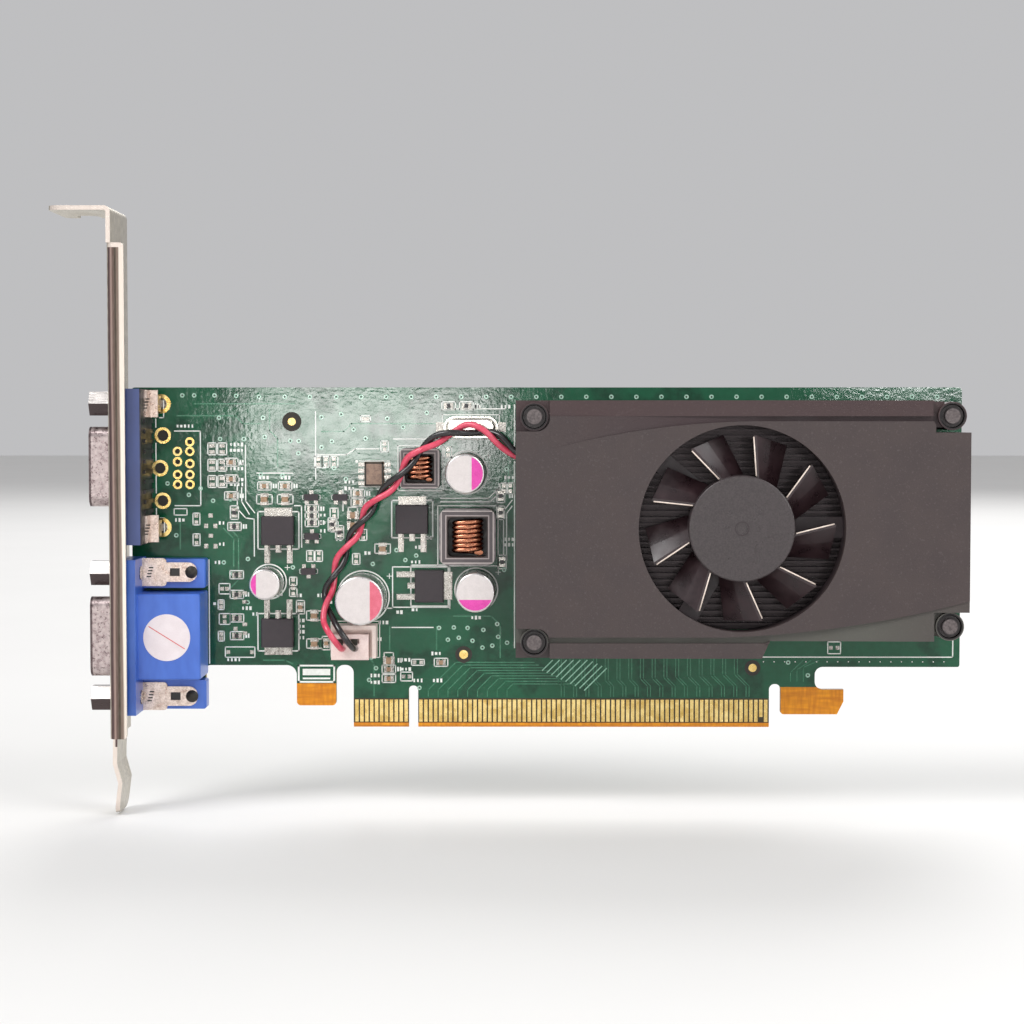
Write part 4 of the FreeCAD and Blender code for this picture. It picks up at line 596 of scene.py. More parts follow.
def ferrite_material():
    """Pressed ferrite blocks: rims whose ridges are drawn in painted highlight and shade, round a
    window painted dark brown inside as shade.
    """
    made = Shader("ferrite")
    lumps = made.noise(1.2, 3.0)
    colour = made.shades(lumps, (96, 88, 90), (132, 124, 124))
    for low, high in islands("inductor_shells"):
        centre, half = middle(low, high), (high.x - low.x) / 2
        run = made.math("ABSOLUTE", made.math("SUBTRACT", made.axis("X"), centre.x))
        rise = made.math("ABSOLUTE", made.math("SUBTRACT", made.axis("Z"), centre.z))
        reach = made.math("DIVIDE", made.math("MAXIMUM", run, rise), half)
        # painted highlight and shade bands, ending in the painted shade of the window
        for outer, shade in FERRITE_LIGHT_AND_SHADE:
            colour = made.blend(made.under(reach, outer), colour, shade)
    return made.surface(colour, made.spread(lumps, 0.34, 0.5), made.noise(0.2, 2.0), 0.03, 0.5)


def winding_material():
    """Enamelled copper, darker away from the crowns, with a painted highlight on the crowns that face
    the front.
    """
    made = Shader("copper")
    shade = made.noise(0.8, 3.0)
    # painted highlight on the crowns facing the front
    crown = made.times(made.under(made.facing("Y"), -0.72), 0.75)
    colour = made.blend(crown, made.shades(shade, (80, 28, 20), (150, 70, 48)), (222, 148, 112))
    return made.surface(colour, made.spread(shade, 0.18, 0.34), shade, 0.01, 0.3, metal=0.9, coat=0.4)


# slot: darker and lighter shade, grain, roughness, fine grain, then metal, depth and coat
FINISHES = {
    "gold": ((196, 160, 84), (236, 212, 146), 1.5, (0.20, 0.34), 0.2, 1.0, 0.004),
    "clip_metal": ((170, 148, 136), (238, 222, 212), 1.4, (0.25, 0.42), 0.3, 0.9),
    "label_paper": ((218, 206, 208), (228, 218, 220), 2.0, (0.5, 0.62), 0.2),
    "frame_plastic": ((38, 28, 31), (52, 40, 43), 3.0, (0.42, 0.55), 0.3),
    "chip_carrier": ((22, 84, 50), (34, 104, 64), 1.0, (0.4, 0.5), 0.2),
    "silicon": ((96, 100, 110), (120, 124, 136), 6.0, (0.08, 0.14), 0.5, 0.9, 0.001),
    "paste": ((146, 146, 142), (176, 176, 172), 0.8, (0.6, 0.8), 0.2, 0.0, 0.03),
    "chip_black": ((44, 37, 41), (58, 50, 54), 1.4, (0.42, 0.56), 0.12),
    "chip_brown": ((112, 88, 76), (160, 134, 116), 1.0, (0.38, 0.5), 0.15),
    "motor_board": ((20, 74, 44), (32, 96, 60), 1.5, (0.3, 0.42), 0.2),
    "bronze": ((140, 104, 62), (182, 142, 92), 0.6, (0.35, 0.5), 0.15, 1.0),
    "magnet": ((44, 44, 46), (60, 60, 62), 0.8, (0.6, 0.75), 0.15),
    "seal_rubber": ((28, 26, 28), (44, 42, 44), 1.0, (0.6, 0.75), 0.2),
    "tinned_lead": ((112, 108, 102), (196, 192, 186), 0.5, (0.2, 0.36), 0.15, 0.9),
    "ceramic": ((138, 108, 82), (178, 146, 116), 0.6, (0.35, 0.5), 0.12),
    "resistor_black": ((24, 24, 26), (44, 42, 46), 0.6, (0.25, 0.4), 0.12),
    "header_white": ((224, 204, 196), (238, 222, 214), 2.0, (0.4, 0.52), 0.25),
    "plug_white": ((226, 200, 194), (242, 222, 216), 2.0, (0.38, 0.5), 0.25),
    "wire_red": ((206, 60, 86), (226, 88, 112), 2.5, (0.24, 0.34), 0.4, 0.0, 0.006, 0.3),
    "wire_black": ((20, 18, 20), (38, 34, 36), 2.5, (0.2, 0.3), 0.4, 0.0, 0.006, 0.4),
    "sleeve_black": ((26, 24, 26), (40, 38, 40), 1.0, (0.5, 0.65), 0.2),
    "silk_and_highlight_white": ((230, 234, 226), (250, 251, 247), 0.7, (0.45, 0.6), 0.1, 0.0, 0.01),
    "via_mask": ((120, 176, 148), (190, 220, 204), 0.5, (0.2, 0.3), 0.1, 0.0, 0.004, 0.3),
    "trace_green": ((28, 104, 72), (46, 126, 90), 1.5, (0.18, 0.28), 0.3, 0.0, 0.005, 0.3),
    "mint_line": ((128, 190, 160), (172, 220, 196), 1.0, (0.3, 0.4), 0.2),
    "print_rose": ((208, 88, 110), (222, 114, 134), 1.0, (0.35, 0.45), 0.2),
    "print_magenta": ((206, 44, 150), (226, 74, 174), 1.0, (0.35, 0.45), 0.2),
    "print_white": ((206, 198, 196), (218, 210, 208), 1.0, (0.35, 0.45), 0.2),
    "print_red": ((196, 60, 60), (216, 84, 82), 0.6, (0.45, 0.55), 0.1),
    # cream as a painted highlight on the fan blades' leading edges
    "blade_highlight": ((226, 206, 192), (250, 236, 224), 1.0, (0.2, 0.3), 0.2, 0.0, 0.004),
    "dark_mark_and_shade": ((26, 22, 16), (44, 38, 26), 0.6, (0.4, 0.5), 0.1),
}
# slot: darker and lighter shade, how far the marks are drawn out, and at times the roughness
BRUSHED = {
    "plain_steel": ((140, 136, 132), (200, 196, 190), (1, 6, 1)),
    "core_steel": ((84, 84, 88), (126, 126, 130), (1, 0.2, 1)),
    "spring_steel": ((140, 140, 142), (196, 196, 198), (1, 3, 1)),
    "can_aluminium": ((196, 192, 190), (238, 236, 234), (1, 10, 1), (0.2, 0.34)),
    "crystal_steel": ((188, 182, 172), (228, 224, 216), (6, 1, 1), (0.18, 0.32)),
}
MATERIALS = {
    "board": board_material(),
    "bracket_steel": bracket_material(),
    "violet_plastic": violet_material(),
    "blue_plastic": blue_material(),
    "plated_shell": shell_material(),
    "screw_steel": jackscrew_material(),
    "cover_plastic": cover_material(),
    "black_aluminium": fin_material(),
    "fan_plastic": fan_material(),
    "copper": winding_material(),
    "pin_nylon": pin_material(),
    "ferrite": ferrite_material(),
}
MATERIALS.update((name, plain(name, *finish)) for name, finish in FINISHES.items())
MATERIALS.update((name, brushed(name, *finish)) for name, finish in BRUSHED.items())

slot_of = {row["node"]: row["material_slot"] for row in frame["record"]["subparts"]}
for name, node in nodes.items():
    node.data.materials.clear()
    node.data.materials.append(MATERIALS[slot_of[name]])
for lead, finish in ((red_wire, "wire_red"), (black_wire, "wire_black")):
    lead.data.materials.append(MATERIALS[finish])


# ---- CAD shapes shown in another form ----

COIL_WIDENING = 1.72


def soft_springs():
    """Each pin's spring as its own copy of its CAD coil, shown in the node's place."""
    for number in (1, 2, 3, 4):
        node = f"push_pin_spring_{number}"
        coil = stand_in(f"pin_coil_{number}", nodes[node].data.copy(), node)
        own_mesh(coil)


def wide_coils():
    """The inductor coils, drawn out sideways to the oval windings that fill their windows."""
    mesh = nodes["inductor_coils"].data.copy()
    centres = [middle(low, high).x for low, high in islands("inductor_coils")]
    for vertex in mesh.vertices:
        x = vertex.co.x / MM
        centre = min(centres, key=lambda place: abs(place - x))
        vertex.co.x = (centre + (x - centre) * COIL_WIDENING) * MM
    stand_in("oval_coils", mesh, "inductor_coils")


soft_springs()
wide_coils()


# ---- flat artwork on the board ----

def around(x, z, radius, sides):
    """Places evenly round a circle."""
    turns = [2 * math.pi * k / sides for k in range(sides)]
    return [(x + radius * math.cos(turn), z + radius * math.sin(turn)) for turn in turns]


class Artwork:
    """Thin raised shapes on one face, built in millimetres and kept as one piece."""

    def __init__(self, level, thick):
        """level is the face's place along Y; thick is signed, away from the face."""
        self.mesh = bmesh.new()
        self.level = level
        self.top = level + thick

    def loop(self, places, y):
        return [self.mesh.verts.new((x * MM, y * MM, z * MM)) for x, z in places]

    def wall(self, low, high):
        """Faces between two loops of as many corners."""
        for index in range(len(low)):
            after = (index + 1) % len(low)
            self.mesh.faces.new((low[index], low[after], high[after], high[index]))

    def shape(self, outline):
        """A closed prism over an outline of (x, z) places."""
        low, high = (self.loop(outline, y) for y in (self.level, self.top))
        self.mesh.faces.new(reversed(low))
        self.mesh.faces.new(high)
        self.wall(low, high)

    def line(self, places, width):
        """A run of straight strokes with square ends."""
        for (ax, az), (bx, bz) in zip(places, places[1:]):
            along = Vector((bx - ax, bz - az)).normalized() * width / 2
            side = Vector((-along.y, along.x))
            start = Vector((ax, az)) - along
            end = Vector((bx, bz)) + along
            self.shape([start - side, end - side, end + side, start + side])

    def box(self, low_x, low_z, high_x, high_z, width):
        """A rectangle in outline."""
        corners = [(low_x, low_z), (high_x, low_z), (high_x, high_z), (low_x, high_z)]
        self.line(corners + corners[:1], width)

    def surround(self, low, high, out_x, out_z, width):
        """An outline that stands off a part by out_x and out_z."""
        self.box(low.x - out_x, low.z - out_z, high.x + out_x, high.z + out_z, width)

    def patch(self, x, z, wide, tall):
        """A filled rectangle about its centre."""
        left, right, foot, head = x - wide / 2, x + wide / 2, z - tall / 2, z + tall / 2
        self.shape([(left, foot), (right, foot), (right, head), (left, head)])

    def disc(self, x, z, radius, sides):
        self.shape(around(x, z, radius, sides))

    def ring(self, x, z, outer, inner, sides):
        corners = ((inner, self.level), (outer, self.level), (outer, self.top), (inner, self.top))
        loops = [self.loop(around(x, z, radius, sides), y) for radius, y in corners]
        for first, second in zip(loops, loops[1:] + loops[:1]):
            self.wall(first, second)

    def dome(self, x, z, radius, height, sides=14, rings=4):
        """A solder joint: a round foot that narrows to a rounded tip."""
        lift = math.copysign(height, self.top - self.level)
        loops = []
        for step in range(rings):
            share = step / rings
            places = around(x, z, radius * (1 - share) ** 0.55, sides)
            loops.append(self.loop(places, self.level + lift * share))
        for low, high in zip(loops, loops[1:]):
            self.wall(low, high)
        tip = self.mesh.verts.new(Vector((x, self.level + lift, z)) * MM)
        for first, second in zip(loops[-1], loops[-1][1:] + loops[-1][:1]):
            self.mesh.faces.new((first, second, tip))
        self.mesh.faces.new(reversed(loops[0]))

    def piece(self, name, finish, body="card"):
        bmesh.ops.recalc_face_normals(self.mesh, faces=self.mesh.faces)
        made = build(name, self.mesh)
        made.data.materials.append(MATERIALS[finish])
        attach(made, body)
        return made


# how far the printing, the plating and the traces stand off the component side, along Y
INK = -0.02
PLATE = -0.035
TRACE = -0.012
CHIP_END, CHIP_SIDE = 0.95, 0.42  # how far a chip's printed outline stands off it
# parts printed round: stand-off along X and Z, and the line's width
OUTLINED = {
    "regulator_bodies": (0.9, 0.9, 0.26),
    "inductor_shells": (0.45, 0.45, 0.2),
    "transistor_bodies": (0.35, -0.2, 0.12),
}
chips = islands("ceramic_capacitors") + islands("chip_resistors")
cans = islands("capacitor_cans")
chip_low, chip_high = in_mm("controller_leads")

silk_and_highlights = Artwork(FACE, INK)
for low, high in chips:
    lying = high.x - low.x > high.z - low.z
    out_x, out_z = (CHIP_END, CHIP_SIDE) if lying else (CHIP_SIDE, CHIP_END)
    silk_and_highlights.surround(low, high, out_x, out_z, 0.21)
for node, sizes in OUTLINED.items():
    for low, high in islands(node):
        silk_and_highlights.surround(low, high, *sizes)
for low, high in cans:
    centre = middle(low, high)
    radius = (high.x - low.x) / 2
    silk_and_highlights.ring(centre.x, centre.z, radius + 0.50, radius + 0.22, 48)
    plus_x, plus_z = centre.x + radius * 0.9 + 0.9, centre.z + radius * 0.75 + 0.5
    silk_and_highlights.line([(plus_x - 0.45, plus_z), (plus_x + 0.45, plus_z)], 0.15)
    silk_and_highlights.line([(plus_x, plus_z - 0.45), (plus_x, plus_z + 0.45)], 0.15)
silk_and_highlights.surround(*in_mm("fan_header"), 0.4, 0.4, 0.18)
silk_and_highlights.surround(*in_mm("crystal_can"), 0.3, 0.35, 0.16)
for z in (chip_high.z + 0.5, chip_low.z - 0.5):
    silk_and_highlights.line([(chip_low.x, z), (chip_high.x, z)], 0.15)
silk_and_highlights.disc(chip_low.x - 0.5, chip_high.z + 0.4, 0.3, 20)

SILK_AND_HIGHLIGHT_LINES = [
    [(-52.0, 62.5), (-52.0, 60.9)], [(-52.0, 57.6), (-52.0, 54.2)],
    [(-52.0, 51.0), (-52.0, 47.6)], [(-52.0, 44.4), (-52.0, 43.3)],
    [(-50.4, 66.2), (-50.4, 62.8), (-51.2, 62.8)], [(-51.2, 42.5), (-50.4, 42.5), (-50.4, 39.3)],
    [(-48.2, 60.1), (-43.0, 60.1), (-43.0, 45.0), (-48.2, 45.0)],
    [(-48.4, 44.4), (-45.8, 44.4), (-45.8, 43.1), (-48.4, 43.1), (-48.4, 44.4)],
    # the three runs from (-33.9, 57.2), (-34.7, 48.6) and (-35.6, 49.2) are bright trace edges, drawn
    # in silk white as a painted highlight
    [(-33.9, 57.2), (-33.9, 45.9), (-32.1, 43.6)], [(-34.7, 48.6), (-34.7, 45.8), (-33.2, 43.3)],
    [(-35.6, 49.2), (-35.6, 44.4), (-33.9, 42.5), (-32.2, 42.3), (-32.2, 34.8)],
    [(-41.4, 34.0), (-41.4, 13.0)], [(-19.7, 64.0), (-19.7, 50.4)],
    [(-19.3, 55.3), (-13.5, 55.3), (-11.7, 56.5), (-7.0, 56.5)], [(-3.9, 58.5), (4.6, 58.5)],
    [(5.6, 46.5), (15.2, 46.5), (17.4, 48.6), (17.4, 49.4)],
    [(5.6, 45.8), (15.6, 45.8), (18.0, 48.1)], [(20.0, 46.1), (18.3, 43.9), (18.3, 34.0)],
    [(20.0, 44.9), (18.9, 43.4), (18.9, 34.0)], [(-14.2, 48.2), (-14.2, 44.0)],
    [(-4.3, 20.3), (4.0, 20.3)], [(20.5, 65.4), (20.5, 57.0)], [(20.5, 54.0), (20.5, 16.2)],
    [(70.4, 14.3), (109.3, 14.3), (109.3, 17.6)], [(8.5, 64.6), (18.6, 64.6)],
    [(-31.6, 51.6), (-24.4, 51.6)], [(-24.0, 45.0), (-22.6, 45.0), (-22.6, 36.6)],
    [(-6.0, 24.2), (-4.2, 24.2), (-4.2, 32.6), (7.4, 32.6), (7.4, 24.2)],
    [(-4.2, 24.4), (7.4, 24.4)],
]
for places in SILK_AND_HIGHLIGHT_LINES:
    silk_and_highlights.line(places, 0.22)
# the open port's pads: heights of its rows, and their two columns
PORT_ROWS = (56.5, 53.2, 49.9)
PORT_COLUMNS = (-40.65, -38.6)
for z in PORT_ROWS:
    silk_and_highlights.box(-41.5, z - 1.2, -39.8, z + 1.2, 0.2)
    silk_and_highlights.box(-39.5, z - 1.2, -37.7, z + 1.2, 0.2)
# outlines of empty places for two-ended parts; the second list is of one size, by its low corner
SMALL_BOXES = [
    (-44.6, 41.1, -43.2, 43.5), (-44.6, 36.9, -43.2, 39.3), (-39.4, 27.1, -37.2, 29.2),
    (-39.4, 20.9, -37.2, 23.1), (-39.6, 23.9, -38.4, 25.9), (-39.6, 17.5, -38.4, 19.5),
    (-38.2, 14.2, -32.2, 16.3), (84.0, 15.0, 86.6, 17.4), (-10.6, 62.0, -8.6, 63.2),
    (-2.6, 9.4, -0.2, 11.2), (-0.4, 12.6, 2.2, 13.8), (-16.8, 52.8, -15.2, 55.0),
    (-16.8, 42.3, -15.2, 44.5), (-16.8, 39.7, -15.2, 41.9),
]
SMALL_CORNERS = [
    (-18.4, 52.8), (-19.9, 52.8), (-6.5, 55.9), (6.3, 54.7), (-21.6, 33.7), (-19.9, 33.7),
    (-25.1, 28.3), (-25.1, 26.6), (-28.1, 26.8), (-12.3, 33.1), (-10.9, 38.0), (18.9, 47.4),
    (17.6, 47.4),
]
SMALL_BOXES += [(x, z, x + 1.5, z + 2.2) for x, z in SMALL_CORNERS]
for corners in SMALL_BOXES:
    silk_and_highlights.box(*corners, 0.2)
LABEL_PITCH = 0.75
# middles of the printed labels, and how many plain blocks stand for each
LABELS = [
    (-46.1, 61.1, 5), (-35.7, 57.4, 4), (-35.7, 56.2, 4), (-35.7, 53.5, 4), (-35.7, 52.5, 4),
    (-35.7, 50.3, 4), (-35.7, 49.3, 4), (-30.2, 50.7, 3), (-25.8, 50.7, 3), (-47.3, 42.1, 3),
    (-38.8, 41.5, 2), (-38.8, 37.2, 2), (-39.7, 33.5, 2), (-33.8, 24.2, 3), (-32.1, 23.0, 2),
    (-40.3, 25.1, 1), (-36.5, 13.7, 4), (-22.7, 21.7, 2), (-22.7, 20.5, 2), (-22.7, 19.4, 2),
    (-22.7, 18.2, 2), (-18.3, 43.1, 2), (-18.3, 41.6, 2), (-18.3, 39.9, 2), (-12.9, 49.8, 3),
    (-12.9, 48.5, 3), (-9.3, 45.9, 2), (11.9, 65.0, 5), (18.7, 65.0, 3), (1.3, 36.6, 3),
    (3.2, 38.5, 2), (0.5, 33.6, 3), (-2.8, 23.4, 2), (0.3, 23.9, 2), (12.7, 22.3, 3),
    (-6.1, 21.3, 3), (-7.0, 17.9, 2), (-1.6, 13.7, 3), (-1.5, 11.8, 3), (-7.8, 10.5, 3),
    (-7.8, 9.1, 3), (4.6, 15.0, 3), (0.9, 9.5, 3), (4.9, 9.5, 3), (19.4, 50.7, 3),
    (19.4, 38.2, 3), (19.4, 37.1, 3), (-15.1, 38.2, 2), (-9.3, 35.4, 2), (-23.2, 26.8, 2),
    (-18.9, 26.8, 2), (-17.1, 25.4, 2),
]
for x, z, count in LABELS:
    for k in range(count):
        place = x + LABEL_PITCH * (k - (count - 1) / 2)
        silk_and_highlights.patch(place, z, random.uniform(0.28, 0.55), random.uniform(0.5, 0.8))
# dashes beside every second chip, where a maker prints part labels
for low, high in chips[::2]:
    level = middle(low, high).z
    silk_and_highlights.patch(high.x + 1.45, level, 0.35, 0.9)
    silk_and_highlights.patch(high.x + 1.95, level, 0.30, 0.9)
for k in range(18):
    silk_and_highlights.disc(71.0 + 2.15 * k, 13.35, 0.12, 8)
TAB_LOW, TAB_HIGH = -23.3, -16.1  # ends of the plate printed on the small tab, along X
tab_middle = (TAB_LOW + TAB_HIGH) / 2
silk_and_highlights.box(TAB_LOW, 9.2, TAB_HIGH, 12.5, 0.35)
silk_and_highlights.patch(tab_middle, 11.2, 5.6, 1.3)
silk_and_highlights.patch(tab_middle, 9.9, 5.6, 0.35)
silk_and_highlights.piece("silk_screen_and_highlights", "silk_and_highlight_white")

mint = Artwork(FACE, INK)
for k in range(10):
    start_x, start_z = 26.2 + 0.95 * k, 11.6 - 0.45 * k
    length = min(4.4, 13.6 - start_z)
    mint.line([(start_x, start_z), (start_x + length, start_z + length)], 0.22)
mint.piece("marker_lines", "mint_line")

pads = Artwork(FACE, PLATE)
for node in ("chip_terminals", "controller_leads", "transistor_leads", "regulator_leads"):
    for low, high in islands(node):
        centre = middle(low, high)
        pads.patch(centre.x, centre.z, high.x - low.x + 0.36, high.z - low.z + 0.36)
for z in PORT_ROWS:
    for x in PORT_COLUMNS:
        for side in (-0.62, 0.62):
            pads.patch(x, z + side, 1.1, 0.7)
# three-legged places left empty, legs downwards and then legs to the right
for x, z in ((-41.0, 43.0), (-41.0, 38.9)):
    pads.patch(x, z, 0.9, 0.8)
    for side in (-0.95, 0.95):
        pads.patch(x + side, z - 2.1, 0.8, 0.9)
for x, z in ((-36.1, 26.4), (-36.1, 20.0)):
    pads.patch(x, z, 0.8, 0.8)
    for side in (-0.9, 0.9):
        pads.patch(x + 1.9, z + side, 0.9, 0.7)
for low_x, low_z, high_x, high_z in SMALL_BOXES:
    x, z = (low_x + high_x) / 2, (low_z + high_z) / 2
    wide, tall = high_x - low_x, high_z - low_z
    reach_x, reach_z = (wide / 2 - 0.6, 0) if wide > tall else (0, tall / 2 - 0.55)
    for side in (-1, 1):
        pads.patch(x + side * reach_x, z + side * reach_z, 0.75, 0.75)
crystal = middle(*in_mm("crystal_can"))
for side in (-1, 1):
    pads.patch(crystal.x + side * 6.3, crystal.z, 1.5, 1.9)
pads.piece("solder_pads", "tinned_lead")

# the empty socket's holes, with the radius of each, and the fiducials' outer and inner radius
SOCKET_LEGS = [(-50.60, 59.20), (-51.20, 52.60), (-50.70, 46.00)]
SOCKET_PINS = [(-47.65, z) for z in (56.0, 53.9, 51.3, 49.3)]
SOCKET_PINS += [(-45.15, z) for z in (57.9, 56.0, 53.5, 51.3, 49.3)]
LEG_HOLE, PIN_HOLE = 1.12, 0.52
FIDUCIALS = [(-24.5, 62.0, 1.95, 0.78), (10.2, 14.8, 1.70, 0.90), (68.8, 12.1, 1.60, 0.82)]


def hole_rings(level, thick, name):
    """Gold rings round the plated holes on one face."""
    art = Artwork(level, thick)
    for x, z in SOCKET_LEGS:
        art.ring(x, z, 1.66, LEG_HOLE, 36)
    for x, z in SOCKET_PINS:
        art.ring(x, z, 0.95, PIN_HOLE, 24)
    for x, z in CLIP_HOLES:
        art.ring(x, z, 1.95, 1.17, 36)
    art.piece(name, "gold")


# painted shade: a dark disc in the middle of each open hole of the empty socket
shades = Artwork(0.0, INK)
for x, z in SOCKET_LEGS:
    shades.disc(x, z, LEG_HOLE, 36)
for x, z in SOCKET_PINS:
    shades.disc(x, z, PIN_HOLE, 24)
shades.piece("hole_shades", "dark_mark_and_shade")
hole_rings(FACE, PLATE, "hole_rings_front")
hole_rings(BACK, -PLATE, "hole_rings_back")

grounds = Artwork(FACE, INK)
dots = Artwork(FACE, 2 * INK)
for x, z, outer, inner in FIDUCIALS:
    grounds.disc(x, z, outer, 36)
    dots.disc(x, z, inner, 28)
grounds.piece("fiducial_grounds", "dark_mark_and_shade")
dots.piece("fiducial_dots", "gold")

VIAS = [
    (-46.6, 67.3), (-44.2, 67.3), (-40.1, 67.3), (-35.7, 67.2), (-31.1, 67.0), (-25.9, 67.0),
    (-20.8, 67.0), (-39.2, 62.8), (-30.3, 62.8), (-39.0, 58.5), (-34.2, 58.5), (-30.0, 58.9),
    (-24.8, 58.1), (-23.1, 58.1), (-23.2, 55.6), (-18.5, 62.9), (-18.5, 56.8), (-49.7, 49.5),
    (-45.4, 47.2), (-43.0, 48.5), (-37.0, 46.3), (-30.8, 51.3), (-26.4, 51.1), (-40.5, 46.0),
    (-48.0, 39.0), (-38.4, 33.5), (-36.6, 31.2), (-33.6, 25.4), (-14.5, 63.5), (-12.0, 60.4),
    (-5.2, 62.6), (-2.0, 60.9), (2.8, 63.8), (5.0, 57.0), (18.8, 55.6), (18.9, 52.4),
    (18.4, 32.0), (17.0, 21.0), (19.0, 17.2), (14.2, 19.8), (12.0, 17.6), (7.0, 17.8),
    (5.2, 20.2), (8.2, 20.3), (11.0, 20.2), (9.2, 18.2), (16.0, 16.6), (17.2, 18.4), (14.0, 16.2),
    (-8.5, 14.2), (-7.6, 12.0), (-9.0, 9.6), (1.2, 8.0), (-1.6, 34.0), (-8.2, 33.2),
    (-13.6, 50.4), (-16.0, 52.6), (-16.4, 58.0), (-9.6, 58.6), (-3.4, 36.0), (0.6, 34.9),
    (-33.5, 34.2), (-24.4, 32.5),
]
VIAS += [(-15.5 + 5.05 * k, 67.0) for k in range(25)]
VIAS += [(76.0 + 4.0 * k, 10.6 if k % 2 else 13.2) for k in range(2)]
BACK_VIAS = list(VIAS)
for k in range(15):
    BACK_VIAS += [(24 + 5.5 * k + 2.1 * (j % 2), 22 + 6.4 * j) for j in range(6)]
VIA_PAD, VIA_HOLE = 0.46, 0.20


def via_rings(places, level, thick, name):
    """Rings round the vias, and in each a dark disc a hair wider than the hole, painted shade for the
    pit.
    """
    rings = Artwork(level, thick)
    pits = Artwork(level, thick * 0.4)
    for x, z in places:
        rings.ring(x, z, VIA_PAD, VIA_HOLE, 14)
        # painted shade in each via's pit
        pits.disc(x, z, VIA_HOLE + 0.01, 12)
    rings.piece(name, "via_mask")
    pits.piece(name + "_pit_shades", "dark_mark_and_shade")


via_rings(VIAS, FACE, PLATE, "vias_front")
via_rings(BACK_VIAS, BACK, -PLATE, "vias_back")

CONTACT_END = 6.3  # where the traces meet the contacts' upper ends
traces = Artwork(FACE, TRACE)
for k in range(9):
    x = 3.0 + 2.0 * k
    rise = 5.6 - 0.55 * k
    bend = 7.6 + rise
    traces.line([(x, CONTACT_END), (x, 7.6), (x + rise, bend), (24.5 + 0.9 * k, bend)], 0.20)
for k in range(16):
    lean = 0.6 + 0.12 * k
    for x in (30.0 + 2.5 * k, 30.62 + 2.5 * k):
        route = [(x, CONTACT_END), (x, 8.4), (x - lean, 8.4 + lean), (x - lean, 15.0)]
        traces.line(route, 0.18)
GREEN_RUNS = [
    [(-4.8, 20.4), (-4.8, 15.9)], [(4.7, 20.4), (4.7, 15.9)],
    [(-29.0, 64.4), (-29.0, 60.2), (-27.4, 58.6), (-27.4, 53.0)],
    [(-47.6, 63.2), (-36.0, 63.2), (-34.4, 61.6), (-30.8, 61.6)], [(-44.2, 65.6), (-24.0, 65.6)],
    [(-47.2, 42.0), (-47.2, 36.2)], [(-38.4, 40.4), (-36.4, 38.4), (-36.4, 32.8)],
    [(-37.4, 40.6), (-35.4, 38.6), (-35.4, 30.0), (-36.9, 28.5)],
    [(-30.4, 13.6), (-26.0, 13.6), (-24.6, 12.9)],
    [(-9.6, 20.4), (-9.6, 14.6), (-8.0, 13.0), (-8.0, 6.4)],
    [(8.2, 22.6), (15.8, 22.6), (17.6, 20.8), (17.6, 14.2)], [(19.3, 60.0), (19.3, 48.0)],
    [(-18.4, 60.0), (-14.0, 60.0), (-12.4, 61.6), (4.8, 61.6)],
]
for places in GREEN_RUNS:
    traces.line(places, 0.26)
for k in range(3):
    x = 76.5 + 1.3 * k
    traces.line([(x, 9.4), (x, 11.2 + 0.5 * k), (79.0 + 1.6 * k, 13.6)], 0.16)
traces.piece("traces_front", "trace_green")


# ---- solder side ----

gpu_low = in_mm("gpu_substrate")[0]
EDGE_X = 71  # past this the board ends higher up
TRACE_WIDE = 0.2

back_silk = Artwork(BACK, -INK)
for low, high in cans:
    centre, radius = middle(low, high), (high.x - low.x) / 2
    back_silk.ring(centre.x, centre.z, radius + 0.2, radius, 40)
for node in ("fan_header", "gpu_substrate"):
    back_silk.surround(*in_mm(node), 0.4, 0.4, 0.2)
for x, z in PINS:
    back_silk.ring(x, z, 3.6, 3.35, 40)
back_silk.line([(-54.0, 36.4), (-42.0, 36.4), (-42.0, 66.8)], 0.2)
back_silk.line([(-42.0, 34.0), (-42.0, 13.4)], 0.2)
back_silk.piece("silk_screen_back", "silk_and_highlight_white")

back_traces = Artwork(BACK, -TRACE)
for k in range(17):
    x = gpu_low.x + 1.2 + 1.6 * k
    fan_out = (k - 8) * 1.35
    bend = gpu_low.z - 3.0 - abs(fan_out)
    foot = min(8.0 if x + fan_out < EDGE_X else 14.0, bend - 0.5)
    route = [(x, gpu_low.z - 0.6), (x, gpu_low.z - 3.0), (x + fan_out, bend), (x + fan_out, foot)]
    back_traces.line(route, TRACE_WIDE)
for k in range(14):
    z = gpu_low.z + 1.5 + 1.9 * k
    turn_x, turn_z = gpu_low.x - 3.0 - 0.5 * k, z + 4 - 0.5 * k
    route = [(gpu_low.x - 0.6, z), (turn_x, z), (turn_x - 4, turn_z), (-12.0 + k, turn_z)]
    back_traces.line(route, TRACE_WIDE)
for k in range(9):
    z, shift = 44.0 + 2.3 * k, 0.8 * k
    route = [(-42.5, z), (-34.0 - shift, z), (-31.0 - shift, z - 3), (-22.0, z - 3)]
    back_traces.line(route, TRACE_WIDE)
for k in range(6):
    z = 15.5 + 2.2 * k
    back_traces.line([(-41.0, z), (-30.0, z), (-27.5, z + 2.5), (-20.5, z + 2.5)], TRACE_WIDE)
back_traces.piece("traces_back", "trace_green")

solder = Artwork(BACK, -PLATE)
for low, high in islands("capacitor_leads"):
    centre = middle(low, high)
    solder.dome(centre.x, centre.z, 0.95, 1.1)
for node in ("header_pins", "vga_upper_contacts", "vga_lower_contacts"):
    for low, high in islands(node):
        centre = middle(low, high)
        # a video contact runs along the board before it turns down at its far end
        x = high.x - 0.3 if node.startswith("vga") else centre.x
        solder.dome(x, centre.z, 0.72, 1.2)
for x, z in CLIP_POSTS:
    solder.dome(x, z, 1.7, 1.3, 18)
for x, z in SOCKET_PINS:
    solder.ring(x, z, 0.9, 0.55, 20)
solder.piece("solder_joints", "tinned_lead")


# ---- printed tops, sticker, plug, chip and hub ----

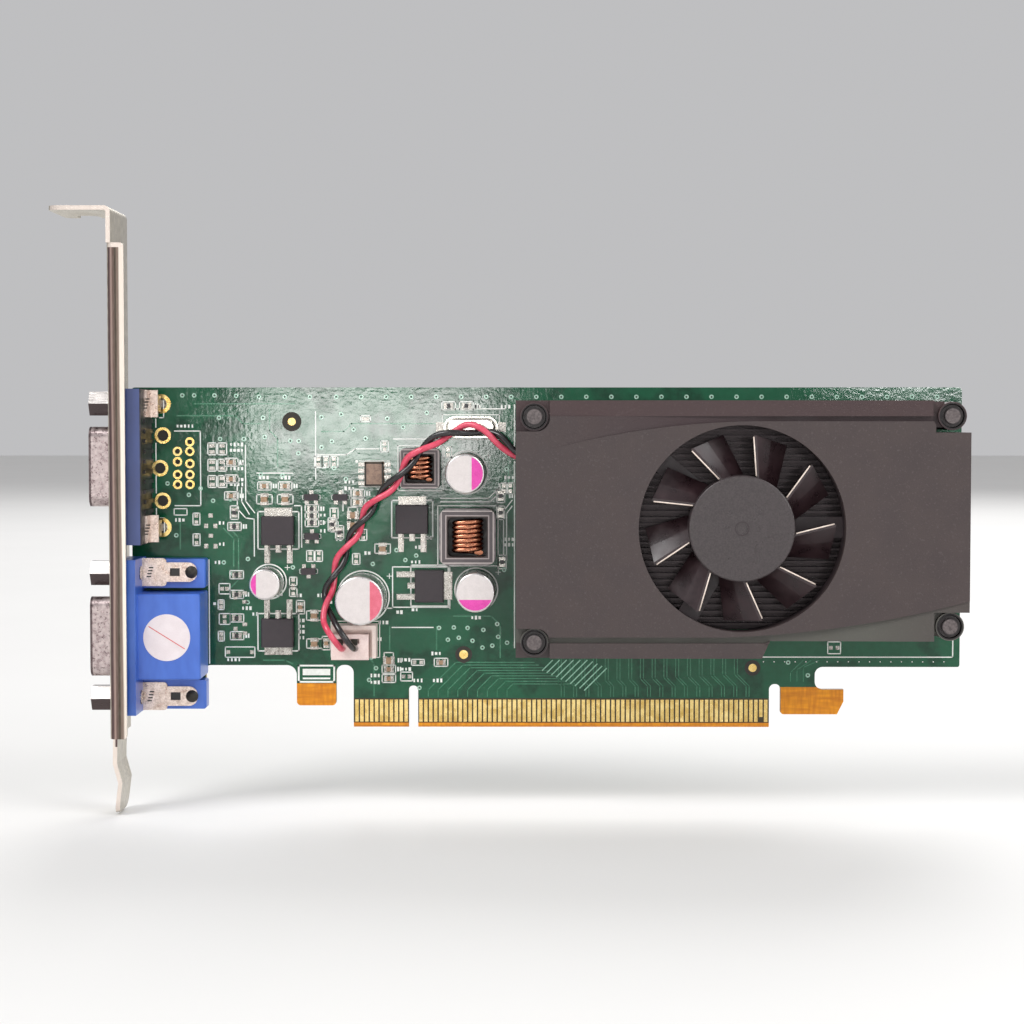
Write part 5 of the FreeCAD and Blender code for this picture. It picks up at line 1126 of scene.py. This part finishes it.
def cap_top(name, low, high, direction, offset, finish):
    """White ink over a can's top, and a coloured segment beyond a chord at that offset."""
    centre = middle(low, high)
    radius = (high.x - low.x) / 2 - 0.42
    white = Artwork(low.y, INK)
    white.disc(centre.x, centre.z, radius, 56)
    white.piece(name + "_white", "print_white")
    half = math.acos(offset / radius)
    steps = 24
    turns = [direction + half * (2 * k / steps - 1) for k in range(steps + 1)]
    segment = Artwork(low.y + INK, INK)
    segment.shape([(centre.x + radius * math.cos(t), centre.z + radius * math.sin(t)) for t in turns])
    segment.piece(name + "_segment", finish)


RIGHT, LEFT, DOWN = 0.0, math.pi, -math.pi / 2
# a place near each can, which way its segment lies, the chord's offset and the ink
TOPS = [
    (-29.25, 29.60, LEFT, 1.69, "print_magenta"),
    (-10.15, 26.55, RIGHT, 2.07, "print_rose"),
    (10.75, 51.70, RIGHT, 1.30, "print_magenta"),
    (12.75, 28.05, DOWN, 1.40, "print_magenta"),
]
for index, (x, z, direction, offset, finish) in enumerate(TOPS, 1):
    low, high = min(cans, key=lambda pair: abs(middle(*pair).x - x) + abs(middle(*pair).z - z))
    cap_top(f"capacitor_top_{index}", low, high, direction, offset, finish)

low, high = in_mm("inspection_sticker")
sticker = middle(low, high)
tilt = math.radians(-32)
run = Vector((math.cos(tilt), math.sin(tilt))) * ((high.x - low.x) / 2 - 0.5)
stroke = Artwork(low.y, INK)
stroke.line([(sticker.x - run.x, sticker.z - run.y), (sticker.x + run.x, sticker.z + run.y)], 0.16)
stroke.piece("sticker_stroke", "print_red")

low, high = in_mm("fan_plug")
# painted shade in the plug's two windows
windows = Artwork(low.y, INK / 2)
for x in (-14.5, -11.6):
    windows.patch(x, high.z - 1.55, 1.5, 1.25)
windows.piece("plug_window_shades", "dark_mark_and_shade")

low, high = in_mm("controller_chip")
outline = Artwork(low.y, INK / 2)
outline.surround(low, high, -0.22, -0.22, 0.34)
outline.piece("chip_outline", "dark_mark_and_shade")

dimple = Artwork(in_mm("fan_impeller")[0].y, INK / 2)
dimple.ring(FAN.x, FAN.z, 1.45, 1.22, 32)
dimple.piece("hub_dimple", "frame_plastic", "fan_rotor")


# ---- marks on the board clips ----

def front(node, x, z):
    """The place along Y of a CAD node's front-most face at (x, z), or None."""
    hit, place, _, _ = nodes[node].ray_cast((x * MM, -0.2, z * MM), (0, 1, 0))
    return place.y / MM if hit else None


marks = Artwork(0, 0)
for node, x, places in (
    ("vga_lower_clips", -52.6, LOWER_CLIPS),
    ("vga_upper_clips", -52.4, UPPER_CLIPS),
):
    for z in places:
        for rise in (-0.9, -0.3, 0.3, 0.9):
            level = front(node, x, z + rise)
            if level is not None:
                marks.level, marks.top = level, level + INK / 2
                marks.patch(x + 0.25 * rise, z + rise, 0.9, 0.26)
marks.piece("clip_marks", "dark_mark_and_shade")
for number, z in enumerate(LOWER_CLIPS, 1):
    level = front("vga_lower_clips", -43.4, z + 1.0)
    if level is not None:
        crown = Artwork(level, INK)
        crown.dome(-44.3, z, 1.25, 0.45, 24, 6)
        crown.piece(f"clip_crown_{number}", "dark_mark_and_shade")


# ---- fan blade edges ----

BLADES = 9
ROOT, TIP = (10.7, -5.1), (18.2, 2.9)  # radius and lead, in degrees, of a blade edge's two ends
EDGE_RADIUS, EDGE_SIDES, EDGE_DEPTH = 0.14, 8, 0.52


def blade_edge_highlights():
    """The rounded leading edges of the blades, as slim rods from hub to tip, coloured cream as a
    painted highlight.
    """
    rods = Artwork(0, 0)
    level = in_mm("fan_impeller")[0].y + EDGE_DEPTH
    for index in range(BLADES):
        ends = []
        for radius, lead in (ROOT, TIP):
            turn = math.radians(lead + index * 360 / BLADES)
            place = (FAN.x + radius * math.cos(turn), level, FAN.z + radius * math.sin(turn))
            ends.append(Vector(place) * MM)
        axis = (ends[1] - ends[0]).normalized()
        side = axis.cross(Vector((0, 1, 0))).normalized()
        over = axis.cross(side)
        offsets = [side * u + over * v for u, v in around(0, 0, EDGE_RADIUS * MM, EDGE_SIDES)]
        loops = [[rods.mesh.verts.new(end + offset) for offset in offsets] for end in ends]
        rods.wall(*loops)
        rods.mesh.faces.new(loops[0])
        rods.mesh.faces.new(reversed(loops[1]))
    made = rods.piece("blade_edge_highlights", "blade_highlight", "fan_rotor")
    for face in made.data.polygons:
        face.use_smooth = True


blade_edge_highlights()


# ---- stage and light ----

FLOOR_REACH, FLOOR_GAP = 4.0, 0.0004
CARD = (0.02, 0, 0.04)  # what the three large lamps face
# place, target, width, height, power in watts
LAMPS = {
    "window": ((-0.080, -1.0, 0.055), (0, 0, 0.05), 0.165, 0.06, 0.60),
    "window_right": ((0.300, -1.0, 0.100), (0.1, 0, 0.07), 0.14, 0.014, 0.3),
    "key": ((-0.9, -0.9, 1.2), CARD, 0.8, 0.8, 17.0),
    "fill": ((1.1, -0.8, 0.9), CARD, 0.9, 0.9, 10.0),
    "rear": ((0.3, 1.3, 1.0), CARD, 1.0, 0.8, 12.0),
}
WINDOW_COLOUR = (1, 0.99, 0.97)
SKY, SKY_STRENGTH = (236, 236, 238), 0.62


def floor():
    """A plain pale floor just under the bracket's foot."""
    art = bmesh.new()
    corners = [(-1, -1), (1, -1), (1, 1), (-1, 1)]
    level = cad_box[0].z - FLOOR_GAP
    art.faces.new([art.verts.new((x * FLOOR_REACH, y * FLOOR_REACH, level)) for x, y in corners])
    made = build("floor", art)
    made.data.materials.append(plain(
        "floor_paint", (224, 223, 221), (227, 226, 224), 400.0, (0.6, 0.65), 60.0, 0.0, 0.001,
    ))


def lamp(name, place, target, wide, tall, power):
    """A rectangular soft light."""
    data = bpy.data.lights.new(name, "AREA")
    data.shape = "RECTANGLE"
    data.size = wide
    data.size_y = tall
    data.energy = power
    made = link(name, data)
    made.location = place
    aim(made, target)
    return data


floor()
lights = {name: lamp(name, *settings) for name, settings in LAMPS.items()}
lights["window"].color = WINDOW_COLOUR
world = bpy.data.worlds.new("studio")
world.use_nodes = True
background = world.node_tree.nodes["Background"]
background.inputs["Color"].default_value = tone(*SKY)
background.inputs["Strength"].default_value = SKY_STRENGTH
bpy.context.scene.world = world
bpy.context.scene.view_settings.view_transform = "Standard"
